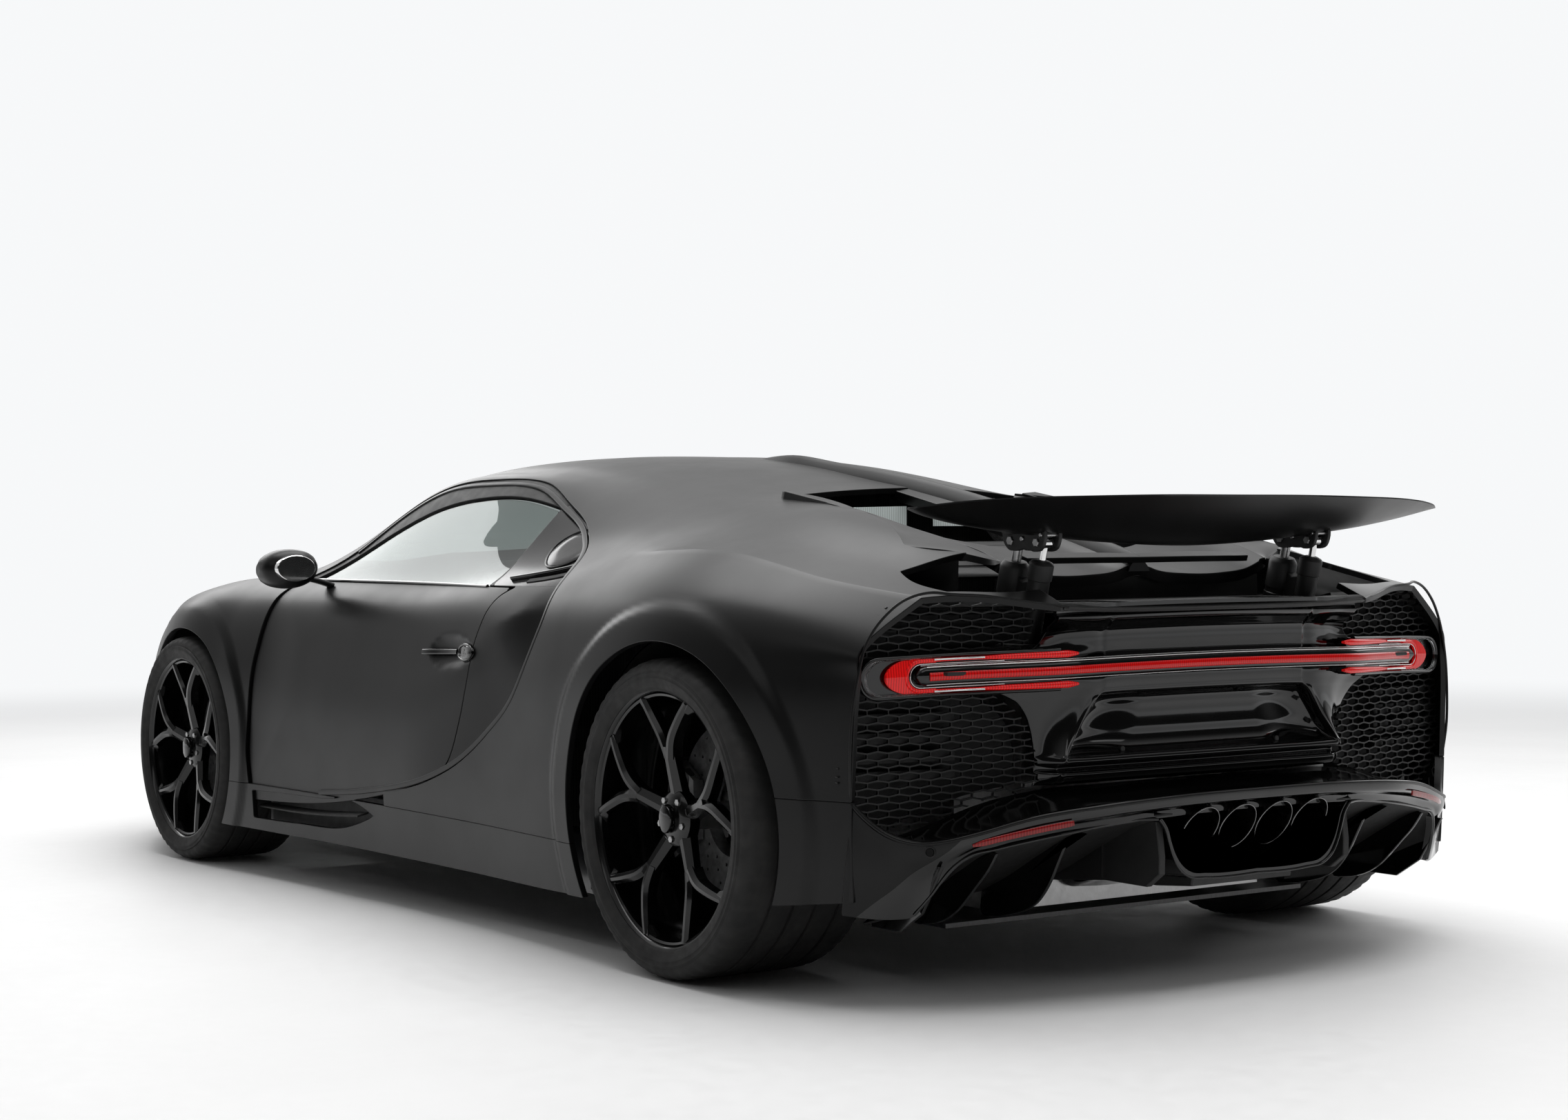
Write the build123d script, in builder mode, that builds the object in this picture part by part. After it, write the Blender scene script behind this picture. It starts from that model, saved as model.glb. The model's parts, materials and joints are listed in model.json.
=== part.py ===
from build123d import *
from math import cos, hypot, radians, sin
import os

# Mid-engined two-seat hypercar, millimetres.
# +X points to the rear, +Y to the car's right, +Z up.  The origin is on the
# floor, midway along the length.  Pieces are drawn on the left (y < 0).

# ---- Overall sizes -----------------------------------------------------------
NOSE_X = -2272.0
TAIL_X = 2272.0
FRONT_AXLE_X = -1290.0
WHEELBASE = 2711.0
REAR_AXLE_X = FRONT_AXLE_X + WHEELBASE
SPAN = 1200.0               # reaches past the body's side
SKY = 1400.0                # reaches past the roof
FIT = 0.3                   # clearance of seated and hinged faces

# ---- Body skin ---------------------------------------------------------------
TOP_SKIN = 40.0             # roof, bonnet and deck
SIDE_SKIN = 90.0            # doors and flanks, as thick as the whole door
NOSE_SKIN = 60.0
GLASS = 6.0
GLASS_INSET = 10.0          # side glass behind the outer surface
UNDERSIDE_Z = 125.0
FLOOR_SKIN = 10.0

# Cross-sections: x, then (y, z) of each column, from the centre line to the sill
COLUMNS = ("centre", "inner", "outer", "edge", "belt", "shoulder", "waist", "lower", "sill")
SECTIONS = (
    (-2272, (0, 600), (230, 592), (430, 562), (600, 510), (740, 440), (835, 380), (885, 330), (905, 250), (905, 130)),
    (-2030, (0, 715), (250, 706), (470, 676), (640, 645), (770, 600), (870, 500), (925, 430), (945, 290), (945, 135)),
    (-1700, (0, 790), (270, 782), (500, 764), (680, 768), (800, 768), (905, 725), (980, 560), (998, 330), (998, 135)),
    (-1290, (0, 858), (290, 848), (540, 832), (700, 836), (825, 840), (940, 795), (1012, 640), (1014, 360), (1005, 140)),
    (-1000, (0, 898), (310, 890), (560, 872), (710, 862), (825, 852), (915, 800), (985, 640), (1000, 400), (1000, 138)),
    (-700, (0, 1050), (330, 1040), (560, 1005), (690, 950), (815, 856), (900, 800), (955, 630), (980, 400), (985, 138)),
    (-350, (0, 1170), (330, 1160), (530, 1128), (640, 1085), (800, 870), (888, 798), (945, 620), (972, 400), (965, 138)),
    (50, (0, 1211), (320, 1203), (530, 1165), (640, 1105), (805, 868), (885, 798), (942, 620), (970, 400), (955, 138)),
    (500, (0, 1192), (320, 1172), (530, 1118), (670, 1035), (805, 900), (890, 830), (948, 660), (975, 420), (960, 140)),
    (950, (0, 1120), (300, 1095), (520, 1052), (690, 985), (818, 930), (925, 855), (990, 700), (1000, 440), (985, 145)),
    (1421, (0, 1040), (300, 1030), (520, 1015), (690, 965), (818, 940), (950, 850), (1016, 690), (1019, 440), (1000, 160)),
    (1800, (0, 950), (300, 950), (500, 948), (660, 910), (795, 882), (900, 815), (957, 680), (960, 440), (945, 200)),
    (2000, (0, 883), (300, 880), (500, 880), (660, 872), (775, 850), (853, 785), (886, 680), (892, 435), (885, 215)),
    (2145, (0, 819), (300, 822), (480, 828), (620, 838), (720, 815), (800, 740), (840, 640), (850, 435), (845, 215)),
)
# Share of the side skin (y) and top skin (z) by which the inner face of each column lies inwards
PULL = {
    "centre": (0, 1), "inner": (0, 1), "outer": (0.2, 1), "edge": (0.5, 0.9), "belt": (0.8, 0.6),
    "shoulder": (1, 0.3), "waist": (1, 0), "lower": (1, 0), "sill": (1, 0),
}
# Plan outline of the nose and of the tail's edge, (x, y)
NOSE_ARC = ((NOSE_X, 0), (-2206, -450), (-1990, -900))
TAIL_EDGE = ((1950, -1000), (1981, -892), (2034, -686), (2141, -443), (2141, 0))

# ---- Outlines on the left side, (x, z): two points are a line, three an arc ---
OPENING = (                 # the big side curve around door and window
    ((-820, 843), (-480, 1040), (-14, 1127)),
    ((-14, 1127), (480, 1047), (800, 880)),
    ((800, 880), (836, 785), (800, 690)),
    ((800, 690), (589, 492), (275, 356)),
    ((275, 356), (-97, 288), (-841, 241)),
    ((-841, 241), (-872, 500), (-826, 790)),
    ((-826, 790), (-820, 843)),
)
DOOR = (
    ((-785, 262), (-836, 500), (-790, 787)),
    ((-790, 787), (-772, 845)),
    ((-772, 845), (529, 849)),
    ((529, 849), (424, 607), (313, 388)),
    ((313, 388), (230, 345), (154, 322)),
    ((154, 322), (-785, 262)),
)
WINDOW = (
    ((-755, 845.5), (-443, 975), (97, 1059)),
    ((97, 1059), (250, 1061), (387, 1040)),
    ((387, 1040), (400, 849)),
    ((400, 849), (-755, 845.5)),
)
DOOR_GAP = 8.0
SWING_GAP = 12.0            # extra at the door's front and rear edges, which swing in an arc
PANE_GAP = 8.0

# ---- Panel splits -------------------------------------------------------------
BUMPER_X = -1830.0          # front bumper to fender
COWL_X = -1015.0            # bonnet's rear edge
PILLAR_X = -800.0           # fender to windscreen pillar
PILLAR_Y = 720.0            # fender to cowl
ROOF_REAR_X = 470.0         # roof to rear quarter
SKIRT_Z = 266.0             # door opening's foot to skirt
BUMPER_Z = 430.0            # rear quarter to rear bumper
BONNET_NOSE_X = -2085.0
BONNET_NOSE_Y = 300.0       # half width at the nose
BONNET_COWL_Y = 590.0       # half width at the cowl
BONNET_GAP = 6.0
BONNET_END_GAP = 14.0
BONNET_REAR_GAP = 28.0      # the rear edge swings back as the bonnet opens
SCREEN_BASE_X = -960.0
SCREEN_BASE_Y = 690.0
SCREEN_SIDE_X = -850.0
SCREEN_TOP_X = -250.0
SCREEN_TOP_Y = 560.0
SCREEN_CROWN_X = -330.0
DECK_Y = 480.0              # half width of the engine deck
DECK_END_X = 1880.0         # its tail edge, ahead of the wing
FASCIA_Y = 450.0            # half width of the tail's centre panel
TAIL_RIM = 14.0             # the quarters' rim around the tail's recess
RECESS_X = 1945.0
STAY_SLOT = (               # (x, y) of the teardrop opening round a wing stay
    (1846, -656), (1850, -560), (1840, -452), (1840, -364), (2040, -364), (2046, -560), (2018, -668), (1935, -682))
VENT = (                    # (x, y) of the engine opening beside the spine
    (1030, -60), (1030, -350), (1353, -400), (1560, -400), (1680, -100))

# ---- Wheels --------------------------------------------------------------------
# name, axle x, centre y, tyre radius, tyre width, rim radius
FRONT_WHEEL = ("front", FRONT_AXLE_X, 874.5, 339.5, 285.0, 270.0)
REAR_WHEEL = ("rear", REAR_AXLE_X, 833.0, 355.5, 355.0, 282.0)
ARCH_GAP_FRONT = 27.5       # arch lip around the tyre
ARCH_GAP_REAR = 37.5
LIP_DEPTH = 45.0
WELL_GAP = 74.0             # well behind the lip, for the steered tyre
WELL_INNER_FRONT = 562.0
WELL_INNER_REAR = 636.0
RIM_THICKNESS = 14.0
SPOKES = 5
SPOKE_FORK = 0.52           # radius share where a spoke forks
SPOKE_SPREAD = 18.0         # degrees from the spoke to each fork's end
SPOKE_WIDTH = 34.0
SPOKE_DEPTH = 30.0
DISH = 38.0                 # hub face inboard of the rim's lip
HUB_RADIUS = 60.0
HUB_BORE = 30.0
DISC_RADIUS = 205.0
DISC_THICKNESS = 38.0
DISC_OFFSET = 40.0          # disc centre inboard of the wheel's centre
CALIPER_SPAN = 62.0         # degrees

# ---- Doors and bonnet hinges ------------------------------------------------------
DOOR_HINGE_X = -760.0
DOOR_HINGE_Y = 955.0
PIN_RADIUS = 8.0
PIN_LENGTH = 70.0
BONNET_HINGE_X = COWL_X - 60.0
BONNET_HINGE_Z = 838.0

# ---- Wing --------------------------------------------------------------------------
# half-span y, leading (x, z), belly (x, z), trailing (x, z), thickness
WING_SECTIONS = (
    (0, (1925, 990), (2010, 950), (2192, 1055), 44),
    (406, (1922, 1000), (2006, 976), (2184, 1053), 34),
    (600, (1935, 1014), (2010, 996), (2140, 1046), 24),
    (772, (2010, 1031), (2034, 1024), (2062, 1031), 7),
)
WING_PIVOT_X = 1938.0
WING_PIVOT_Z = 962.0
WING_STAY_Y = 406.0
ROD_EYE_X = 2024.0
ROD_EYE_Z = 958.0
STAY_LEAN = 14.4            # degrees rearwards
STAY_RADIUS = 33.0
BARREL_RADIUS = 24.0
BARREL_PITCH = 84.0         # barrel behind the stay, square to its axis
ROD_RADIUS = 8.0
STAY_FOOT_Z = 610.0
STAY_STROKE = 90.0
LUG_GAP = 15.0              # half width between the wing's lugs
LUG_THICKNESS = 8.0

# ---- Cabin ------------------------------------------------------------------------
FIREWALL_X = -870.0
BULKHEAD_X = 520.0
WALL = 30.0
SEAT_Y = 360.0
SEAT_X = -60.0
SEAT_WIDTH = 500.0
WHEEL_HUB = (-330.0, -SEAT_Y, 720.0)
STEERING_RADIUS = 180.0


# ---- Helpers ------------------------------------------------------------------------
def half_section(row, top_skin, side_skin, drop):
    """Left half of one cross-section, its columns pulled in by the skins."""
    points = []
    for column, (y, z) in zip(COLUMNS, row[1:]):
        pull_y, pull_z = PULL[column]
        points.append((pull_y * side_skin - y, z - pull_z * top_skin))
    foot = points[-1][1] - drop
    points[-1] = (points[-1][0], foot)
    return points + [(0, foot)]


def body_half(top_skin=0.0, side_skin=0.0, nose_skin=0.0, drop=0.0, tail_open=False):
    """Left half of the body, trimmed to its plan outline."""
    with BuildPart() as half:
        for row in SECTIONS:
            with BuildSketch(Plane.YZ.offset(row[0])):
                with BuildLine():
                    Polyline(*half_section(row, top_skin, side_skin, drop), close=True)
                make_face()
        loft()
        tail = [(2200, -SPAN), (2200, 0)] if tail_open else list(TAIL_EDGE)
        with BuildSketch():
            with BuildLine():
                arc = [(x + nose_skin, y) for x, y in NOSE_ARC]
                ThreePointArc(*arc)
                Polyline(arc[2], (-1800, -SPAN), (1900, -SPAN), *tail, arc[0])
            make_face()
        extrude(amount=SKY, mode=Mode.INTERSECT)
    return half.part


def draw(segments):
    for segment in segments:
        if len(segment) == 2:
            Line(*segment)
        else:
            ThreePointArc(*segment)


def side_prism(segments, grow=0.0):
    """A side outline swept across the left half."""
    with BuildPart() as prism:
        with BuildSketch(Plane.XZ):
            with BuildLine():
                draw(segments)
            make_face()
            if grow:
                offset(amount=grow, kind=Kind.INTERSECTION)
        extrude(amount=SPAN)
    return prism.part


def top_prism(*points, low=0.0, high=SKY):
    """A plan outline swept upwards."""
    with BuildPart() as prism:
        with BuildSketch(Plane.XY.offset(low)):
            with BuildLine():
                Polyline(*points, close=True)
            make_face()
        extrude(amount=high - low)
    return prism.part


def block(x0, x1, y0, y1, z0, z1):
    """A box between two corners."""
    centre = ((x0 + x1) / 2, (y0 + y1) / 2, (z0 + z1) / 2)
    return Pos(*centre) * Box(abs(x1 - x0), abs(y1 - y0), abs(z1 - z0), mode=Mode.PRIVATE)


def cross_cylinder(x, z, radius, y0, y1):
    """A cylinder along Y between two y."""
    return Pos(x, (y0 + y1) / 2, z) * Rot(90, 0, 0) * Cylinder(radius, abs(y1 - y0), mode=Mode.PRIVATE)


def both(part):
    """A left part and its mirror image."""
    return [part, part.mirror(Plane.XZ)]


def save(builder, name):
    builder.part.label = name
    export_step(builder.part, f"parts/{name}.step")


def wheel_well(wheel, gap):
    """The space that one wheel needs on the left: through the lip, wider behind it."""
    name, axle_x, centre_y, tyre_radius, width, rim = wheel
    inner = WELL_INNER_FRONT if name == "front" else WELL_INNER_REAR
    lip_y = centre_y + width / 2 - LIP_DEPTH
    with BuildPart() as well:
        add(cross_cylinder(axle_x, tyre_radius, tyre_radius + gap, -SPAN, -inner))
        add(cross_cylinder(axle_x, tyre_radius, tyre_radius + WELL_GAP, -lip_y, -inner))
        reach = tyre_radius + WELL_GAP
        add(block(axle_x - reach, axle_x + reach, -lip_y, -inner, 0, tyre_radius))
        reach = tyre_radius + gap
        add(block(axle_x - reach, axle_x + reach, -SPAN, -inner, 0, tyre_radius))
    return well.part


os.makedirs("parts", exist_ok=True)

# ---- The skin, cut into panels ------------------------------------------------------
wells = [wheel_well(FRONT_WHEEL, ARCH_GAP_FRONT), wheel_well(REAR_WHEEL, ARCH_GAP_REAR)]
outer_half = body_half()
with BuildPart() as skin:
    add(outer_half)
    add(body_half(TOP_SKIN, SIDE_SKIN, NOSE_SKIN, drop=80, tail_open=True), mode=Mode.SUBTRACT)
    add(wells, mode=Mode.SUBTRACT)

opening_prism = side_prism(OPENING)
with BuildPart() as side_wall:
    add(skin.part)
    add(opening_prism, mode=Mode.INTERSECT)
with BuildPart() as outer_skin:
    add(skin.part)
    add(opening_prism, mode=Mode.SUBTRACT)

door_prism = side_prism(DOOR)
door_cut = side_prism(DOOR, grow=DOOR_GAP)
window_prism = side_prism(WINDOW)
window_cut = side_prism(WINDOW, grow=PANE_GAP)

hinge_pin = Pos(DOOR_HINGE_X, -DOOR_HINGE_Y, SKIRT_Z + 20) * Cylinder(PIN_RADIUS, PIN_LENGTH)
hinge_bore = Pos(DOOR_HINGE_X, -DOOR_HINGE_Y, SKIRT_Z + 20) * Cylinder(PIN_RADIUS + FIT, PIN_LENGTH + 2)

with BuildPart() as door_left:
    add(side_wall.part)
    add(door_prism, mode=Mode.INTERSECT)
    add(hinge_bore, mode=Mode.SUBTRACT)
save(door_left, "door_left")
with BuildPart() as door_right:
    add(door_left.part.mirror(Plane.XZ))
save(door_right, "door_right")

with BuildPart() as side_frames:
    add(side_wall.part)
    for shift in (-SWING_GAP, 0, SWING_GAP):
        add(Pos(shift, 0, 0) * door_cut, mode=Mode.SUBTRACT)
    add(window_cut, mode=Mode.SUBTRACT)
    add(Pos(SWING_GAP, 0, 0) * window_cut, mode=Mode.SUBTRACT)
    add(hinge_pin)
    mirror(about=Plane.XZ)
save(side_frames, "side_frames")

with BuildPart() as door_glass_left:
    add(body_half(GLASS_INSET, GLASS_INSET))
    add(body_half(GLASS_INSET + GLASS, GLASS_INSET + GLASS, drop=80, tail_open=True), mode=Mode.SUBTRACT)
    add(window_prism, mode=Mode.INTERSECT)
save(door_glass_left, "door_glass_left")
with BuildPart() as door_glass_right:
    add(door_glass_left.part.mirror(Plane.XZ))
save(door_glass_right, "door_glass_right")


def outer_panel(*prisms, cuts=()):
    """A piece of the outer skin inside every prism and outside the cuts."""
    with BuildPart() as panel:
        add(outer_skin.part)
        for prism in prisms:
            add(prism, mode=Mode.INTERSECT)
        for cut in cuts:
            add(cut, mode=Mode.SUBTRACT)
    return panel.part


def join_halves(half):
    """A centre panel from its left half."""
    with BuildPart() as whole:
        add(half)
        mirror(about=Plane.XZ)
    return whole


bonnet_outline = ((BONNET_NOSE_X, 0), (BONNET_NOSE_X, -BONNET_NOSE_Y), (COWL_X, -BONNET_COWL_Y), (COWL_X, 0))
bonnet_hole = top_prism(
    (BONNET_NOSE_X - BONNET_END_GAP, 0), (BONNET_NOSE_X - BONNET_END_GAP, -BONNET_NOSE_Y - BONNET_GAP),
    (COWL_X, -BONNET_COWL_Y - BONNET_GAP), (COWL_X + BONNET_REAR_GAP, -BONNET_COWL_Y - BONNET_GAP), (COWL_X + BONNET_REAR_GAP, 0), low=500)
taper = (BONNET_COWL_Y - BONNET_NOSE_Y) / (COWL_X - BONNET_NOSE_X)
hinge_edge_y = BONNET_COWL_Y - taper * (COWL_X - BONNET_HINGE_X)      # bonnet's edge at its hinge
trunnion = cross_cylinder(BONNET_HINGE_X, BONNET_HINGE_Z, PIN_RADIUS, -hinge_edge_y - 20, -hinge_edge_y + 30)
trunnion_bore = cross_cylinder(
    BONNET_HINGE_X, BONNET_HINGE_Z, PIN_RADIUS + FIT, -hinge_edge_y - 21, -hinge_edge_y + 31)
bonnet = join_halves(outer_panel(top_prism(*bonnet_outline, low=500), cuts=[trunnion_bore]))
save(bonnet, "bonnet")

# Nose: the grille's horseshoe, the lamps and the lower intakes pierce the bumper
GRILLE_WIDTH = 150.0        # half width
GRILLE_TOP_Z = 610.0
GRILLE_FOOT_Z = 215.0
INTAKE = ((-250, 175), (-820, 190), (-790, 400), (-290, 330))
LAMP = ((-500, 520), (-870, 560), (-880, 625), (-520, 592))
MESH_PITCH = 52.0
MESH_BAR = 12.0
MESH_INSET = 28.0
MESH_DEPTH = 14.0


def nose_prism(points, low=NOSE_X - 10.0, high=-1850.0):
    """A front-view outline, (y, z), swept rearwards through the nose."""
    with BuildPart() as prism:
        with BuildSketch(Plane.YZ.offset(low)):
            with BuildLine():
                Polyline(*points, close=True)
            make_face()
        extrude(amount=high - low)
    return prism.part


def horseshoe(grow=0.0):
    """The grille's opening, flat at its foot and round on top."""
    radius = GRILLE_WIDTH + grow
    with BuildPart() as shape:
        with BuildSketch(Plane.YZ.offset(NOSE_X - 10)):
            with BuildLine():
                foot = GRILLE_FOOT_Z - grow
                shoulder = GRILLE_TOP_Z - GRILLE_WIDTH
                Polyline((0, GRILLE_TOP_Z + grow), (0, foot), (-radius * 0.8, foot), (-radius, shoulder))
                ThreePointArc(
                    (-radius, shoulder), (-radius * sin(radians(45)), shoulder + radius * cos(radians(45))),
                    (0, shoulder + radius))
            make_face()
        extrude(amount=260)
    return shape.part


def mesh_bars(x0, x1, y0, y1, z0, z1):
    """Upright and level bars of a square mesh, as one list of boxes."""
    bars = []
    count_y = int((y1 - y0) / MESH_PITCH)
    count_z = int((z1 - z0) / MESH_PITCH)
    for i in range(count_y + 1):
        y = y0 + (i + 0.5) * (y1 - y0) / (count_y + 1)
        bars.append(block(x0, x1, y - MESH_BAR / 2, y + MESH_BAR / 2, z0, z1))
    for i in range(count_z + 1):
        z = z0 + (i + 0.5) * (z1 - z0) / (count_z + 1)
        bars.append(block(x0, x1, y0, y1, z - MESH_BAR / 2, z + MESH_BAR / 2))
    return bars


lamp_prism = nose_prism(LAMP)
intake_prism = nose_prism(INTAKE, high=-1900)
grille_frame = horseshoe(0)
nose_box = block(NOSE_X - 10, BUMPER_X, -SPAN, 0, 0, SKY)
splitter_z = UNDERSIDE_Z + 25
with BuildPart() as front_bumper:
    add(outer_skin.part)
    add(nose_box, mode=Mode.INTERSECT)
    with BuildSketch(Plane.XY.offset(UNDERSIDE_Z)):
        with BuildLine():
            ThreePointArc(*NOSE_ARC)
            Polyline(NOSE_ARC[2], (BUMPER_X, -980), (BUMPER_X, -860), (-1950, -700), (-2120, -300), (-2140, 0),
                     NOSE_ARC[0])
        make_face()
    extrude(amount=splitter_z - UNDERSIDE_Z)
    add([bonnet_hole, lamp_prism, intake_prism, horseshoe(0)], mode=Mode.SUBTRACT)
    add(wells[0], mode=Mode.SUBTRACT)
    mirror(about=Plane.XZ)
save(front_bumper, "front_bumper")

with BuildPart() as headlamps:
    add(outer_skin.part)
    add(nose_box, mode=Mode.INTERSECT)
    add(lamp_prism, mode=Mode.INTERSECT)
    add(bonnet_hole, mode=Mode.SUBTRACT)
    mirror(about=Plane.XZ)
save(headlamps, "headlamps")

with BuildPart() as mesh_sheet:
    # a sheet inside the bumper's skin, curved like the nose
    with BuildSketch():
        with BuildLine():
            front = [(x + MESH_INSET, y) for x, y in NOSE_ARC]
            back = [(x + MESH_INSET + MESH_DEPTH, y) for x, y in NOSE_ARC]
            ThreePointArc(*front)
            Line(front[2], back[2])
            ThreePointArc(*reversed(back))
            Line(back[0], front[0])
        make_face()
    extrude(amount=SKY)
with BuildPart() as centre_mesh:
    add(mesh_bars(NOSE_X, -1900, -GRILLE_WIDTH, MESH_BAR, GRILLE_FOOT_Z, GRILLE_TOP_Z))
    add([horseshoe()], mode=Mode.INTERSECT)
    add(mesh_sheet.part, mode=Mode.INTERSECT)
with BuildPart() as intake_mesh:
    add(mesh_bars(NOSE_X, -1900, -880, -240, 170, 410))
    add(intake_prism, mode=Mode.INTERSECT)
    add(mesh_sheet.part, mode=Mode.INTERSECT)
with BuildPart() as front_grilles:
    add(horseshoe(0))
    add(block(-2235, NOSE_X, -SPAN, 0, 0, SKY), mode=Mode.INTERSECT)
    add(horseshoe(-22), mode=Mode.SUBTRACT)
    add(centre_mesh.part)
    add(intake_mesh.part)
    mirror(about=Plane.XZ)
save(front_grilles, "front_grilles")

# Fenders, cowl, windscreen, roof
fender_box = block(BUMPER_X, PILLAR_X, -SPAN, 0, 0, SKY)
cowl_box = block(COWL_X, PILLAR_X, -PILLAR_Y, 0, 700, SKY)
screen_outline = ((SCREEN_CROWN_X, 0), (SCREEN_TOP_X, -SCREEN_TOP_Y), (SCREEN_SIDE_X, -SCREEN_BASE_Y),
                  (SCREEN_BASE_X + 50, -SCREEN_BASE_Y / 2), (SCREEN_BASE_X, 0))
screen_prism = top_prism(*screen_outline, low=700)
with BuildPart() as fenders:
    add(outer_skin.part)
    add(fender_box, mode=Mode.INTERSECT)
    add([bonnet_hole, cowl_box], mode=Mode.SUBTRACT)
    add(block(BUMPER_X, PILLAR_X, -SPAN, 0, 0, SKIRT_Z) - block(BUMPER_X, FRONT_AXLE_X, -SPAN, 0, 0, SKIRT_Z),
        mode=Mode.SUBTRACT)
    add(trunnion)
    mirror(about=Plane.XZ)
save(fenders, "fenders")

roof_box = block(PILLAR_X, ROOF_REAR_X, -SPAN, 0, 700, SKY)
roof = join_halves(outer_panel(roof_box + cowl_box, cuts=[screen_prism, bonnet_hole]))
save(roof, "roof")

with BuildPart() as windscreen:
    add(outer_half)
    add(body_half(GLASS, GLASS, drop=80, tail_open=True), mode=Mode.SUBTRACT)
    add(screen_prism, mode=Mode.INTERSECT)
    mirror(about=Plane.XZ)
save(windscreen, "windscreen")

# Rear quarters, deck and skirts
rear_corner_box = block(REAR_AXLE_X, TAIL_X, -SPAN, 0, 0, BUMPER_Z)
tail_shelf_cut = block(DECK_END_X, TAIL_X, -FASCIA_Y, 0, 0, SKY)
with BuildPart() as tail_recess:
    add(body_half(TAIL_RIM, TAIL_RIM, drop=80, tail_open=True))
    add(block(RECESS_X, TAIL_X, -SPAN, 0, 0, SKY), mode=Mode.INTERSECT)
stay_slot = top_prism(*STAY_SLOT, low=700)
deck_box = block(ROOF_REAR_X, DECK_END_X, -DECK_Y, 0, 700, SKY)
vent = top_prism(*VENT, low=700)
rear_deck = join_halves(outer_panel(deck_box, cuts=[vent, stay_slot]))
save(rear_deck, "rear_deck")

with BuildPart() as rear_quarters:
    add(outer_skin.part)
    add(block(ROOF_REAR_X, TAIL_X, -SPAN, 0, SKIRT_Z, SKY), mode=Mode.INTERSECT)
    add([deck_box, tail_shelf_cut, stay_slot, tail_recess.part], mode=Mode.SUBTRACT)
    add(rear_corner_box, mode=Mode.SUBTRACT)
    mirror(about=Plane.XZ)
save(rear_quarters, "rear_quarters")

with BuildPart() as rear_corner:
    add(outer_skin.part)
    add(rear_corner_box, mode=Mode.INTERSECT)
    add(block(0, TAIL_X, -800, 0, 0, SKY), mode=Mode.SUBTRACT)

with BuildPart() as side_skirts:
    add(outer_skin.part)
    add(block(FRONT_AXLE_X, REAR_AXLE_X, -SPAN, 0, 0, SKIRT_Z), mode=Mode.INTERSECT)
    add(block(-810, -60, -SPAN, -900, 170, SKIRT_Z), mode=Mode.SUBTRACT)
    mirror(about=Plane.XZ)
save(side_skirts, "side_skirts")


# ---- Tail -------------------------------------------------------------------------
LEDGE_Z = (402, 414)        # shelf inside the bumper, over the exhaust pipes
FASCIA = (                  # (x, z) of the gloss centre panel's outer face
    (DECK_END_X, 852), (2141, 822), (2118, 770), (2092, 722), (2094, 676), (2076, 560), (2100, 504),
    (2096, 472), (2042, 442), (2042, LEDGE_Z[1]))
FASCIA_BACK = ((2014, LEDGE_Z[1]), (2014, 455), (2066, 486), (2044, 560), (2064, 676), (2060, 722), (2088, 768),
               (2100, 800), (DECK_END_X, 826))
PLATE_HOLE_Y = 90.0         # number plate's fixing holes
PLATE_HOLE_Z = 600.0
PLATE_HOLE_RADIUS = 3.0
LAMP_Z = (672, 702)         # the bar's foot and top
LAMP_LOOP_Z = (648, 716)    # the loops at its ends
LAMP_LOOP_Y = 520.0
LAMP_END_Y = 858.0
LAMP_BAR = 14.0
LAMP_BACK_X = 2094.0 + FIT  # against the fascia's crest
LAMP_LINE = ((LAMP_BACK_X, 0), (LAMP_BACK_X, -FASCIA_Y - 1), (2062, -560), (2008, -690), (1972, -LAMP_END_Y))
LAMP_DEPTH = 22.0
GRILLE_LINE = ((2040, -FASCIA_Y), (1950, -880))
GRILLE_DEPTH = 14.0
GRILLE_Z = (436, 860)
BUMPER_LINE = ((1975, -892), (2044, -808), (2113, -744), (2192, -580), (2266, -382), (TAIL_X, 0))
BUMPER_BACK = ((2215, 0), (2210, -350), (2140, -540), (2062, -690), (2010, -760), (1940, -850))
BUMPER_FACE = ((0, 423), (-382, 423), (-580, 391), (-808, 353), (-892, 431), (-892, 330), (-700, 318),
               (-300, 336), (-250, 409), (0, 409))
EXHAUST_Z = 348.0
EXHAUST_RADIUS = 52.0
EXHAUST_WALL = 4.0
EXHAUST_PITCH = 108.5
EXHAUST_TIP_X = 2262.0
MUFFLER = (1840.3, 2035, 300, 290, 400)       # x0, x1, half width, z0, z1
VANES = (449, 640)
DIFFUSER_LINE = ((1842, 135), (1842, 152), (2112, 314), (2122, 300), (1868, 135))
VANE_LINE = ((1850, 135), (1900, 148), (2040, 206), (2122, 300), (2112, 314), (1860, 160))
TRAY_LINE = ((1842, 135), (1842, 152), (1990, 246), (2210, 276), (2214, 262), (2000, 232), (1868, 135))
TRAY_SIDE = ((2000, 232), (2208, 262), (2208, 396), (2140, 385), (2040, 270))
TRAY_Y = 262.0
TRAY_WALL = 12.0
DIFFUSER_Y = 650.0


def profile(points, y0, y1):
    """A side-view outline, (x, z), swept between two y."""
    with BuildPart() as swept:
        with BuildSketch(Plane.XZ.offset(-y1)):
            with BuildLine():
                Polyline(*points, close=True)
            make_face()
        extrude(amount=y1 - y0)
    return swept.part


def strip(line, depth, low=0.0, high=SKY):
    """An upright strip in plan: a line and its copy further forward."""
    back = [(x - depth, y) for x, y in reversed(line)]
    return top_prism(*line, *back, low=low, high=high)


def rear_view(points):
    """A rear-view outline, (y, z), swept along the tail."""
    return nose_prism(points, low=1850.0, high=TAIL_X + 10)


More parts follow.
